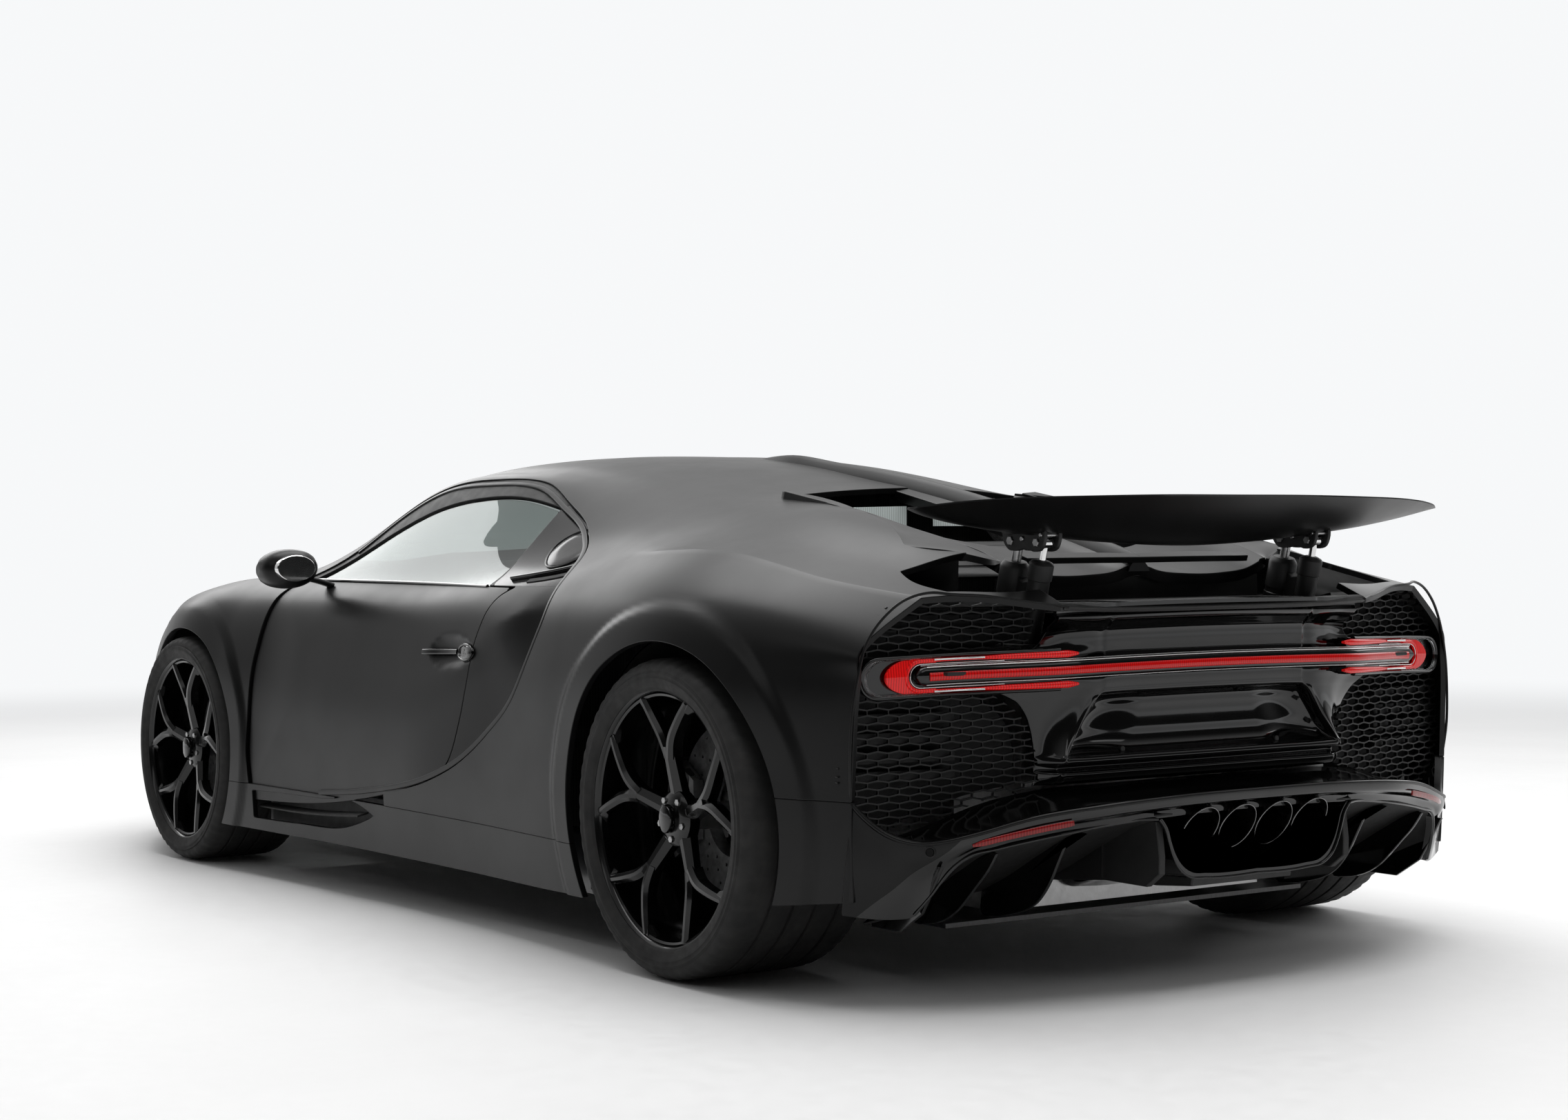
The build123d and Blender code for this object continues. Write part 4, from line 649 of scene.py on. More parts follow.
# The side curve round door and window, and the door, as seen from the side
C_REAR = ((-800, 855), (-640, 937), (-508, 1028), (-339, 1099), (-14, 1130), (246, 1114), (430, 1060),
          (650, 985),
          (771, 918), (826, 850), (838, 785), (810, 711), (728, 588), (589, 492), (425, 407), (275, 356),
          (-97, 290), (-402, 264), (-816, 243))
DOOR_FRONT = ((-816, 243), (-833, 330), (-838, 450), (-836, 528), (-825, 687), (-800, 855))
SIDE = outline(C_REAR, DOOR_FRONT)
DOOR = outline(((-800, 849), (529, 849)), ((529, 849), (501, 835), (451, 734), (424, 607), (385, 502),
                                           (313, 388),
               (216, 343)), ((216, 343), (-97, 280), (-402, 240), (-816, 220)),
               ((-816, 220),) + DOOR_FRONT[:-1]
               + ((-800, 849),))
WINDOW = outline(((-755, 850), (-640, 905), (-443, 990), (-250, 1049), (-14, 1078), (200, 1076), (387, 1046)),
                 ((387, 1046), (371, 850)), ((371, 850), (-755, 850)))
INSET_NEAR, INSET_DEEP = 8.0, 58.0          # step inside the side curve, at its front and at its rear
INSET_X = (100, 800)
INSET_WIDTH = 270.0
SCOOP = (322, 682, 120, 40, 17)             # x, z, half sizes and depth of the handle's scoop


def inset_side(grid):
    """The side surface inside the curve, which falls away behind the quarter's edge."""
    flat_points = grid.reshape(-1, 3)
    near = np.abs(flat_points[:, 1]) > 350
    depth = np.zeros(len(flat_points))
    d = np.full(len(flat_points), 1e3)
    d[near] = signed_distance(flat_points[near][:, [0, 2]], SIDE)
    x, z = flat_points[:, 0], flat_points[:, 2]
    step = INSET_NEAR + (INSET_DEEP - INSET_NEAR) * smoothstep(*INSET_X, x)
    depth = step * (1 - smoothstep(0, INSET_WIDTH, np.maximum(d, 0)))
    sx, sz, hx, hz, hollow = SCOOP
    bowl = np.clip(1 - ((x - sx) / hx)**2 - ((z - sz) / hz)**2, 0, 1)
    depth += hollow * bowl**0.8
    out = grid.copy()
    out[..., 1] += depth.reshape(grid.shape[:2])
    return out


outer_grid = raise_arches(master_grid())
outer_skin = grid_mesh(outer_grid)
side_grid = inset_side(outer_grid)
side_skin = grid_mesh(side_grid)


# ---- Solid shapes from rings, outlines and paths -------------------------------------------------
def outward(verts, tris):
    """Turns a closed mesh's faces outwards."""
    a, b, c = (verts[tris[:, k]] for k in range(3))
    return tris if (a * np.cross(b, c)).sum() > 0 else tris[:, ::-1]


def tube(rings, closed=False):
    """Rings of equally many points, skinned one to the next and capped, or joined end to end."""
    rings = np.asarray(rings, float)
    count, size = rings.shape[:2]
    index = np.arange(count * size).reshape(count, size)
    rows = np.concatenate([index, index[:1]]) if closed else index
    turned = np.roll(rows, -1, axis=1)
    a, b, c, d = (m.ravel() for m in (rows[:-1], turned[:-1], turned[1:], rows[1:]))
    tris = [np.stack([a, b, c], 1), np.stack([a, c, d], 1)]
    verts = rings.reshape(-1, 3)
    if not closed:
        verts = np.r_[verts, rings[[0, -1]].mean(1)]
        first, last = index[0], index[-1]
        tris += [np.stack([np.roll(first, -1), first, np.full(size, count * size)], 1),
                 np.stack([last, np.roll(last, -1), np.full(size, count * size + 1)], 1)]
    tris = np.concatenate(tris)
    return verts, None, outward(verts, tris)


def sweep(path, section, up=(0, 0, 1), closed=False, size=None):
    """A closed section, (side, up), carried along a path."""
    path, section = np.asarray(path, float), np.asarray(section, float)
    ahead_of = np.roll(path, -1, 0) - np.roll(path, 1, 0) if closed else np.gradient(path, axis=0)
    along = unit(ahead_of)
    side = unit(np.cross(along, np.asarray(up, float)))
    rise = np.cross(side, along)
    size = np.ones(len(path)) if size is None else np.asarray(size, float)
    spread = side[:, None] * section[None, :, :1] + rise[:, None] * section[None, :, 1:]
    return tube(path[:, None] + spread * size[:, None, None], closed)


def box_section(width, height, radius=2.0, steps=3):
    """A rectangle with round corners, as (side, up) points."""
    points = []
    for cx, cy, start in ((1, 1, 0), (-1, 1, 90), (-1, -1, 180), (1, -1, 270)):
        for k in range(steps + 1):
            a = math.radians(start + 90 * k / steps)
            points.append((cx * (width / 2 - radius) + radius * math.cos(a),
                           cy * (height / 2 - radius) + radius * math.sin(a)))
    return points


def circle(radius, count=24):
    return [(radius * math.cos(a), radius * math.sin(a))
            for a in np.linspace(0, 2 * math.pi, count, endpoint=False)]


def lathe(profile, count, centre, side=LEFT, ripple=None):
    """A closed profile of (radius, distance outboard) turned about a wheel's axle."""
    x, y, z = centre
    profile = np.asarray(profile, float)
    rings = []
    for k in range(count):
        a = 2 * math.pi * k / count
        r, out = (profile if ripple is None else ripple(profile, k)).T
        rings.append(np.stack([x + r * math.cos(a), y + side * out, z + r * math.sin(a)], 1))
    return tube(rings, closed=True)


def rod(start, end, radius, count=20, chamfer=1.0):
    """A round bar with chamfered ends."""
    start, end = np.asarray(start, float), np.asarray(end, float)
    along = (end - start) / np.linalg.norm(end - start)
    helper = np.array((0, 0, 1.0)) if abs(along[2]) < 0.9 else np.array((1.0, 0, 0))
    side = unit(np.cross(along, helper))
    rise = np.cross(side, along)
    ring = np.array(circle(1, count))
    around = side * ring[:, :1] + rise * ring[:, 1:]
    rows = ((start, radius - chamfer), (start + along * chamfer, radius), (end - along * chamfer, radius),
            (end, radius - chamfer))
    return tube([centre + around * r for centre, r in rows])


def prism(outline_points, low, high, axes="xz", bevel=1.5):
    """A flat outline given thickness along the third axis, with bevelled edges."""
    points = np.asarray(outline_points, float)
    third = 3 - sum("xyz".index(a) for a in axes)
    centre = points.mean(0)
    inner = points - unit(points - centre) * bevel
    rings = []
    for value, ring in ((low, inner), (low + bevel, points), (high - bevel, points), (high, inner)):
        rows = np.zeros((len(points), 3))
        rows[:, "xyz".index(axes[0])], rows[:, "xyz".index(axes[1])] = ring.T
        rows[:, third] = value
        rings.append(rows)
    return tube(rings)


def several(*meshes):
    """Separate solids as one mesh."""
    verts = np.concatenate([m[0] for m in meshes])
    shift = np.cumsum([0] + [len(m[0]) for m in meshes[:-1]])
    return verts, None, np.concatenate([m[2] + s for m, s in zip(meshes, shift)])


def other_side(mesh):
    verts, normals, tris = mesh
    return verts * (1, -1, 1), None if normals is None else normals * (1, -1, 1), tris[:, ::-1]


def both_sides(*meshes):
    return several(*meshes, *[other_side(m) for m in meshes])


def whole(half_path):
    """A left path and its mirror image as one path across the car."""
    half_path = np.asarray(half_path, float)
    return np.concatenate([half_path[:-1], half_path[-1:] * (1, 0, 1), half_path[-2::-1] * (1, -1, 1)])


def add_solid(name, mesh, material, body="chassis", replaces=(), sharp=32):
    return add_mesh(name, mesh, material, body, replaces, sharp=sharp)


def patch(rows, count=(24, 60), facing=(1, 0, 0)):
    """A smooth surface through rows of points, its normals turned towards a direction."""
    rows = np.asarray(rows, float)
    r, c = rows.shape[:2]
    steps = np.r_[0, np.cumsum(np.linalg.norm(np.diff(rows, axis=1), axis=2).mean(0))]
    fine = hermite(steps, rows.transpose(1, 0, 2).reshape(c, -1), np.linspace(0, steps[-1], count[1]))
    fine = fine.reshape(count[1], r, 3).transpose(1, 0, 2)
    steps = np.r_[0, np.cumsum(np.linalg.norm(np.diff(rows, axis=0), axis=2).mean(1))]
    fine = hermite(steps, fine.reshape(r, -1), np.linspace(0, steps[-1], count[0])).reshape(*count, 3)
    mesh = grid_mesh(fine)
    return mesh if (mesh[1] @ np.asarray(facing, float)).sum() > 0 else grid_mesh(fine, flip=True)


def both(mesh):
    """A left surface and its mirror image."""
    return joined(mesh, mirrored(mesh))


def flattened_net(width, height, pitch, row, bar):
    """Netting of flattened hexagons, (u, v, 0): cells are pitch wide and repeat every row upwards."""
    outer = np.array([(0, row * 2 / 3), (-pitch / 2, row / 3), (-pitch / 2, -row / 3), (0, -row * 2 / 3),
                      (pitch / 2, -row / 3), (pitch / 2, row / 3)])
    ring = np.concatenate([outer, outer * (1 - bar / pitch, 1 - bar * 1.6 / row)])
    faces = []
    for k in range(6):
        n = (k + 1) % 6
        faces += [(k, n, 6 + n), (k, 6 + n, 6 + k)]
    cells = [(i * pitch + (j % 2) * pitch / 2, j * row) for j in range(int(height / row) + 2)
             for i in range(int(width / pitch) + 2)]
    verts = (np.array(cells)[:, None] + ring[None]).reshape(-1, 2)
    tris = (np.array(faces)[None] + 12 * np.arange(len(cells))[:, None, None]).reshape(-1, 3)
    keys, first, inverse = np.unique(np.round(verts * 20).astype(int), axis=0, return_index=True,
                                     return_inverse=True)
    return np.c_[verts[first], np.zeros(len(first))], np.tile((0, 0, 1.0),
                                                              (len(first), 1)), inverse.ravel()[tris]


def net_on(width, height, pitch, row, bar, low, border, surface, depth=12.0, gap=0.0, facing=(1, 0, 0)):
    """Netting trimmed by a border, (u, v), and laid on a surface given as (u, v) -> points."""
    verts, normals, tris = flattened_net(width, height, pitch, row, bar)
    net = clip((verts + (*low, 0), normals, tris),
               within(np.array([(u, -v) for u, v in border], float), "xy", gap))
    u, v = net[0][:, 0], net[0][:, 1]
    at = surface(u, v)
    normals = unit(np.cross(surface(u + 1, v) - at, surface(u, v + 1) - at))
    if (normals @ np.asarray(facing, float)).sum() < 0:
        normals = -normals
    tris = net[2]
    a, b, c = (at[tris[:, k]] for k in range(3))
    if (np.cross(b - a, c - a) * normals[tris[:, 0]]).sum() < 0:
        tris = tris[:, ::-1]
    return shell((at, normals, tris), depth, 0.4)

# ---- Cut lines of the panels ---------------------------------------------------------------------
GAP = 2.0                       # half of a panel gap
COWL_X, COWL_GAP = -1015.0, 30.0
BONNET = outline(((-2088, 60), (-2086, -120), (-2060, -250), (-2000, -310)),
                 ((-2000, -310), (-1700, -410), (-1350, -520), (COWL_X, -590)),
                 ((COWL_X, -590), (COWL_X, 60)), ((COWL_X, 60), (-2088, 60)))
COWL_LINE = outline(((-2088, 60), (-2086, -120), (-2060, -250), (-2000, -310)),
                    ((-2000, -310), (-1700, -410), (-1350, -520), (COWL_X + COWL_GAP, -596)),
                    ((COWL_X + COWL_GAP, -596), (COWL_X + COWL_GAP, 60)),
                    ((COWL_X + COWL_GAP, 60), (-2088, 60)))
SCREEN = outline(((-960, 60), (-955, -300), (-905, -560), (-838, -700)),
                 ((-838, -700), (-640, -660), (-508, -610), (-360, -565), (-262, -545)),
                 ((-262, -545), (-310, -350), (-335, 60)), ((-335, 60), (-960, 60)))
DECK = outline(((1052, 60), (1048, -48), (1034, -220), (1013, -350)),
               ((1013, -350), (1353, -410), (1600, -492), (1721, -553)),
               ((1721, -553), (1829, -486), (1874, -399)),
               ((1874, -399), (1855, -267), (1866, 60)), ((1866, 60), (1052, 60)))
SHELF_X, SHELF_Y = 1880.0, 450.0
STAY_SLOT = outline(((1838, -656), (1838, -560), (1838, -452)), ((1838, -452), (1838, -360), (2046, -360)),
                    ((2046, -360), (2052, -560), (2018, -668)), ((2018, -668), (1935, -682), (1838, -656)))
NOSE_SPLIT = ((-1890, 900), (-1690, 100))       # (x, z) of the seam ahead of the front wheel
SKIRT_Z = 266.0
BUMPER_Z = 430.0
SIDE_X0 = -800.0                                # fender to cowl and pillar
COWL_Y = -720.0


def past(axis, value):
    k = "xyz".index(axis)
    return lambda v: v[:, k] - value


def short_of(axis, value):
    k = "xyz".index(axis)
    return lambda v: value - v[:, k]


def either(*fields):
    """Keeps what any of the fields keeps."""
    return lambda v: np.max([f(v) for f in fields], axis=0)


def line_side(a, b, axes="xz", gap=0.0):
    """Positive to the left of the line from a to b, less a gap."""
    a, b = np.asarray(a, float), np.asarray(b, float)
    along = (b - a) / np.linalg.norm(b - a)

    def field(v):
        p = flat(v, axes) - a
        return along[0] * p[:, 1] - along[1] * p[:, 0] - gap
    return field


def panel(name, half, material=None, body="chassis", slot="body_black", replaces=(), depth=14.0, radius=2.0,
          sides="both", back=False):
    """A body panel from its left half: one object across the car, or one for a side."""
    material = material or body_black
    if sides == "both":
        mesh = shell(joined(half, mirrored(half)), depth, radius, back=back)
    else:
        mesh = shell(half if sides == LEFT else mirrored(half), depth, radius, back=back)
    return add_mesh(name, mesh, material, body, replaces)


def pair(name, half, nodes, bodies, **settings):
    """The same panel on the left and on the right, each on its own body."""
    for side, word in ((LEFT, "left"), (RIGHT, "right")):
        panel(f"{name}_{word}", half, body=bodies.format(word), replaces=[n.format(word) for n in nodes],
              sides=side, **settings)


front_arch, rear_arch = (disc(x, z, lip) for x, z, lip in ARCHES)
ahead = line_side(*reversed(NOSE_SPLIT), gap=GAP)
behind = line_side(*NOSE_SPLIT, gap=GAP)

# ---- Bonnet, fenders, roof and quarters ----------------------------------------------------------
bonnet_half = clip(outer_skin, within(BONNET, "xy", GAP))
panel("bonnet_skin", bonnet_half, body="bonnet_lid", replaces=["bonnet"], back=True)

fender_half = clip(outer_skin, behind, short_of("x", SIDE_X0 - GAP), beyond(COWL_LINE, "xy", GAP),
                   beyond(SIDE, "xz", 8),
                   front_arch, either(short_of("x", FRONT_X), past("z", SKIRT_Z + GAP)),
                   either(short_of("x", COWL_X + COWL_GAP), short_of("y", COWL_Y)))
panel("fender_skin", fender_half, replaces=["fenders"])

shell_half = clip(outer_skin, past("x", -990), beyond(SIDE, "xz", GAP), beyond(SCREEN, "xy", GAP),
                  beyond(DECK, "xy", 0), beyond(COWL_LINE, "xy", GAP),
                  either(past("x", SIDE_X0), past("y", COWL_Y)), rear_arch,
                  either(short_of("x", SHELF_X), short_of("y", -SHELF_Y)), beyond(STAY_SLOT, "xy", 0),
                  past("z", SKIRT_Z + GAP), either(short_of("x", REAR_X), past("z", BUMPER_Z + GAP)),
                  either(past("x", 0), past("z", 700)))
panel("upper_shell", shell_half, replaces=["roof", "rear_quarters"])

corner_half = clip(outer_skin, past("x", REAR_X), short_of("z", BUMPER_Z - GAP), rear_arch)
panel("bumper_corner", corner_half)

# ---- Doors, side panels, glass -------------------------------------------------------------------
door_half = clip(side_skin, within(DOOR, "xz", GAP), short_of("z", 848), short_of("y", -500))
pair("door_skin", door_half, ["door_{}"], "door_leaf_{}", back=True, depth=20.0)

inset_half = clip(side_skin, within(SIDE, "xz", GAP), beyond(DOOR, "xz", 2 * GAP),
                  beyond(WINDOW, "xz", 2 * GAP), short_of("y", -500))
QUARTER = outline(((391, 856), (404, 1056), (500, 1056), (900, 900)), ((900, 900), (900, 852), (391, 856)))
panel("side_inset", clip(inset_half, short_of("z", 852)), replaces=["side_frames"])
panel("window_frames", clip(inset_half, past("z", 853), beyond(QUARTER, "xz", 1)), satin_black,
      slot="satin_black")
panel("quarter_gloss", clip(inset_half, past("z", 853), within(QUARTER, "xz", 1)), quarter_black,
      slot="gloss_black")


def sunk(mesh, depth):
    verts, normals, tris = mesh
    return verts - normals * depth, normals, tris


window_half = sunk(clip(side_skin, within(WINDOW, "xz", 2 * GAP), short_of("y", -500)), 6)
pair("side_window", window_half, ["door_glass_{}"], "door_leaf_{}", material=side_glass, slot="glass",
     depth=4.0, radius=0.5, back=True)
screen_half = sunk(clip(outer_skin, within(SCREEN, "xy", 2 * GAP)), 3)
panel("windscreen_pane", screen_half, screen_glass, slot="glass", replaces=["windscreen"], depth=5.0,
      radius=0.5, back=True)

# ---- Fittings of the sides -----------------------------------------------------------------------
def on_skin(points, grid, lift=0.0):
    """Points (x, z) on the left side of a skin grid, and its outward directions there."""
    cloud = grid.reshape(-1, 3)
    cloud = cloud[cloud[:, 1] < -480]
    spots, ways = [], []
    for x, z in points:
        away = (cloud[:, 0] - x)**2 + (cloud[:, 2] - z)**2
        near = cloud[np.argpartition(away, 14)[:14]]
        fit = np.linalg.lstsq(np.c_[np.ones(14), near[:, 0] - x, near[:, 2] - z], near[:, 1], rcond=None)[0]
        way = np.array((fit[1], -1, fit[2]))
        way /= np.linalg.norm(way)
        spots.append(np.array((x, fit[0], z)) + way * lift)
        ways.append(way)
    return np.array(spots), np.array(ways)


def strip_on(line, section, grid, lift=0.0, step=16, closed=False):
    spots, ways = on_skin(curve(line, step), grid, lift)
    return sweep(spots, section, ways, closed=closed)


def towards_middle(line, gap, middle=(100, 700)):
    line = np.asarray(line, float)
    return line + unit(np.asarray(middle, float) - line) * gap


SWEEP_LINE = towards_middle(C_REAR[1:-1], 11)
add_solid("side_sweep_band", both_sides(strip_on(SWEEP_LINE, box_section(15, 9, 3), outer_grid, -5)),
          body_black, sharp=60)
BELT_LINE = ((-790, 852), (-262, 852), (200, 850), (370, 849))
HANDLE_BAR = ((176, 677), (250, 679), (345, 683))
HANDLE_END = (398, 684, 52, 21)                  # x, z and half sizes of the handle's round end
kx, kz, ka, kb = HANDLE_END
MIRROR_Y, MIRROR_Z = -972, 889                   # middle of the mirror's glass
TURN_28 = np.linspace(0, 2 * math.pi, 28, endpoint=False)
for side, word in ((LEFT, "left"), (RIGHT, "right")):
    belt = strip_on(BELT_LINE, box_section(9, 8, 3), side_grid, 0.5)
    add_solid(f"belt_trim_{word}", belt if side == LEFT else other_side(belt), chrome_black,
              f"door_leaf_{word}", sharp=60)
    # Handle: a bar with a round end over its scoop
    bar = strip_on(HANDLE_BAR, box_section(15, 10, 4), side_grid, 7)
    knob = strip_on([(kx + ka * math.cos(a), kz + kb * math.sin(a))
                     for a in np.linspace(0, 2 * math.pi, 25)[:-1]],
                    circle(3.4, 10), side_grid, 6, 9, closed=True)
    knob_face = [on_skin([(kx + r * ka * math.cos(a), kz + r * kb * math.sin(a)) for a in TURN_28],
                         side_grid, lift)[0]
                 for r, lift in ((1.0, -4), (0.99, 4), (0.9, 7), (0.5, 8.5), (0.1, 8.8))]
    handle = several(bar, knob, tube(knob_face))
    add_solid(f"door_handle_{word}", handle if side == LEFT else other_side(handle), gloss_black,
              f"door_leaf_{word}", sharp=50)
    # Mirror: a rounded housing on a thin arm
    rings = []
    for out in np.linspace(0, 1, 14):
        bulge = math.sqrt(max(1 - (2 * out - 1)**2, 0.02))
        size_x, size_z = 26 + 44 * bulge, 14 + 42 * bulge
        rings.append([(-592 - 20 * out + size_x * math.copysign(abs(math.cos(a))**0.8, math.cos(a)),
                       -893 - 150 * out,
                       890 - 6 * out + size_z * math.copysign(abs(math.sin(a))**0.8, math.sin(a)))
                      for a in TURN_28])
    arm = sweep(curve(((-585, -838, 838), (-590, -880, 852), (-596, -930, 862)), 12), box_section(46, 14, 6),
                up=(0, 0, 1))
    mirror = several(tube(rings), arm)
    add_solid(f"mirror_housing_{word}", mirror if side == LEFT else other_side(mirror), body_black,
              f"door_leaf_{word}", [f"mirror_{word}"], sharp=60)
    pane_mesh = tube([[(x, MIRROR_Y + a * math.cos(t), MIRROR_Z + b * math.sin(t)) for t in TURN_28]
                      for x, a, b in ((-545, 58, 37), (-528.5, 58, 37), (-526.5, 56, 35))])
    add_solid(f"mirror_glass_{word}", pane_mesh if side == LEFT else other_side(pane_mesh), chrome,
              f"door_leaf_{word}", sharp=30)

FILLER = (585, 944, 84, 47)                      # x, z and half sizes of the round intake on the quarter
fx, fz, fa, fb = FILLER
ring_line = [(fx + fa * math.cos(a), fz + fb * math.sin(a)) for a in np.linspace(0, 2 * math.pi, 37)[:-1]]
spots, ways = on_skin(ring_line, side_grid, 1.0)
ring = sweep(spots, circle(3.0, 8), ways, closed=True)
cap = tube([on_skin([(fx + r * fa * math.cos(a), fz + r * fb * math.sin(a))
                     for a in np.linspace(0, 2 * math.pi, 36, endpoint=False)],
                    side_grid, lift)[0] for r, lift in ((0.93, -6), (0.93, 2), (0.9, 3.2), (0.5, 4.6),
                                                        (0.05, 5))])
add_solid("quarter_round_cap", both_sides(ring, cap), quarter_black, sharp=50)
fin = strip_on(((470, 866), (640, 886), (755, 906)), box_section(9, 12, 3), side_grid, 5)
slot_strip = strip_on(((560, 864), (640, 872), (748, 890)), box_section(16, 3, 1), side_grid, 1.2)
add_solid("quarter_blades", both_sides(fin), gloss_black, sharp=50)
add_solid("quarter_slots", both_sides(slot_strip), dark_plastic, sharp=50)

# Skirts: the lowest band of the skin between the wheels, with the intake behind the front wheel
INTAKE = outline(((-806, 250), (-420, 257), (-150, 258), (-60, 232)),
                 ((-60, 232), (-240, 186), (-520, 172), (-796, 168)), ((-796, 168), (-806, 250)))
skirt_half = clip(outer_skin, past("x", FRONT_X), short_of("x", REAR_X), short_of("z", SKIRT_Z - GAP),
                  front_arch, rear_arch, beyond(INTAKE, "xz", 0))
panel("skirt_skin", skirt_half, body_black, slot="body_black", depth=14.0, radius=2.0,
      replaces=["side_skirts"])
panel("skirt_intake_back", patch([[(x, -905, z) for x in (-850, -450, -20)] for z in (146, 210, 268)],
                                 (8, 20), (0, -1, 0)), dark_plastic,
      slot="satin_black", depth=4.0, radius=0.5)
blade_path = curve(((-800, -955, 205), (-450, -962, 212), (-130, -965, 232)), 20)
add_solid("skirt_blades", both_sides(sweep(blade_path, box_section(34, 5, 2), up=(0, -0.25, 1))),
          dark_plastic)

# ---- Deck: spine, engine cover, vents and shelf --------------------------------------------------
RIDGE = ((330, 1181), (498, 1190), (730, 1163), (973, 1131), (1334, 1065), (1695, 976), (1840, 937),
         (1873, 926))   # x, z
FIN_HALF, FIN_HEIGHT = 26.0, 30.0
fin_rings = []
for x, z in curve(RIDGE, 30):
    grown = min(1.0, max(0.15, (x - 330) / 260))
    fin_rings.append([(x, y * grown, z - drop * grown) for y, drop in (
        (-FIN_HALF - 6, FIN_HEIGHT + 6), (-FIN_HALF, FIN_HEIGHT - 6), (-12, 9), (-5, 1.2), (0, 0), (5, 1.2),
        (12, 9),
        (FIN_HALF, FIN_HEIGHT - 6), (FIN_HALF + 6, FIN_HEIGHT + 6))])
add_solid("roof_fin", tube(fin_rings), body_black, sharp=60)

# z of the cover's surface at each x, by |y|
COVER_Y = (0, 30, 60, 150, 267, 340, 399)
COVER_ROWS = ((1040, (1095, 1092, 1088, 1084, 1078, 1080, 1084)),
              (1200, (1070, 1062, 1054, 1040, 1036, 1044, 1058)),
              (1353, (1040, 1032, 1020, 1004, 1002, 1014, 1034)), (1560, (992, 984, 972, 963, 965, 974, 990)),
              (1700, (956, 948, 938, 928, 930, 941, 962)), (1800, (930, 921, 908, 900, 903, 915, 940)),
              (1866, (908, 902, 893, 884, 885, 894, 917)))
VENT = outline(((1020, -62), (1020, -356)), ((1020, -356), (1353, -384), (1545, -384)),
               ((1545, -384), (1672, -104)),
               ((1672, -104), (1500, -62)), ((1500, -62), (1020, -62)))
cover_half = patch([[(x, -y, z) for y, z in zip(COVER_Y, row)] for x, row in COVER_ROWS], (90, 50), (0, 0, 1))
panel("engine_cover", clip(cover_half, beyond(VENT, "xy", 0)), depth=26.0, radius=3.0,
      replaces=["rear_deck"], slot="body_black")

# Side strips from the cover's seam to the buttresses' inner edges: x, inner |y|, z, outer |y|, z
STRIP = ((1014, 350, 1074, 352, 1079), (1180, 372, 1056, 381, 1064), (1353, 403, 1032, 412, 1036),
         (1480, 403, 1008, 452, 1012),
         (1600, 403, 982, 492, 984), (1721, 403, 958, 551, 954), (1829, 403, 930, 486, 938),
         (1872, 399, 916, 401, 915))
strip = patch([[(x, -a, za), (x, -(a * 0.5 + b * 0.5), za * 0.5 + zb * 0.5 - 3), (x, -b, zb)] for x, a, za,
               b, zb in STRIP],
              (80, 12), (0, 0, 1))
panel("deck_side_strips", strip, depth=16.0, radius=1.5)
walls = patch([[(x, -b, zb - 2) for x, a, za, b, zb in STRIP[:7]],
               [(x, -b - 4, zb - 130) for x, a, za, b, zb in STRIP[:7]]],
              (6, 60), (0, 1, 0))
panel("vent_walls", walls, dark_plastic, slot="satin_black", depth=3.0, radius=0.5)
panel("vent_floor", patch([[(x, y, z) for y in (-385, -200, 0)] for x,
                           z in ((1030, 900), (1300, 900), (1560, 890), (1690, 880))],
                          (20, 16), (0, 0, 1)), dark_plastic, slot="satin_black", depth=3.0, radius=0.5)
louvres = [sweep([(x, y, z) for y in np.linspace(-378 + max(0, x - 1545) * 2.0, -70, 16)],
                 box_section(30, 4, 1.5), up=(0.35, 0, 1))
           for x, z in ((1140, 950), (1230, 940), (1320, 925), (1410, 905), (1500, 885))]
add_solid("vent_louvres", both_sides(*louvres), satin_black)
# Small pane behind the cabin; its material glows pale, a painted reflection of bright light in place of real
# glass
REAR_PANE = ((-221, 996), (-43, 996), (-43, 1046), (-205, 1043), (-221, 1030))       # y, z at PANE_X
PANE_X = 1062.0
pane = prism(REAR_PANE, PANE_X, PANE_X + 5, axes="yz", bevel=1)
add_solid("rear_window_pane", both_sides(pane), pane_painted_glow)

# Shelf behind the cover, its vents, and the plates that the stays come out of
SHELF_ROWS = ((1835, 829, 829, 829), (1900, 829, 829, 829), (2030, 829, 829, 830), (2090, 828, 828, 831),
              (2124, 826, 827, 832),
              (2137, 817, 818, 824))          # x, z at |y| 0, 300 and 449
shelf_half = patch([[(x, 0, a), (x, -150, a), (x, -300, b), (x, -390, b * 0.5 + c * 0.5), (x, -449, c)]
                    for x, a, b, c in SHELF_ROWS],
                   (40, 40), (0, 0, 1))
STAY_WELL = outline(((1836, -352), (2052, -352)), ((2052, -352), (2052, -458)),
                    ((2052, -458), (1836, -458)), ((1836, -458), (1836, -352)))
NET_WELL = outline(((1916, -190), (2078, -190)), ((2078, -190), (2084, -344)), ((2084, -344), (1916, -344)),
                   ((1916, -344), (1916, -190)))
panel("deck_shelf", clip(shelf_half, beyond(STAY_WELL, "xy", 1), beyond(NET_WELL, "xy", 0)), satin_black,
      slot="satin_black", depth=9.0, radius=1.5)


def deck_level(u, v):
    return np.stack([1916 + v, -u,
                     np.interp(1916 + v, [r[0] for r in SHELF_ROWS], [r[2] for r in SHELF_ROWS]) - 3], 1)


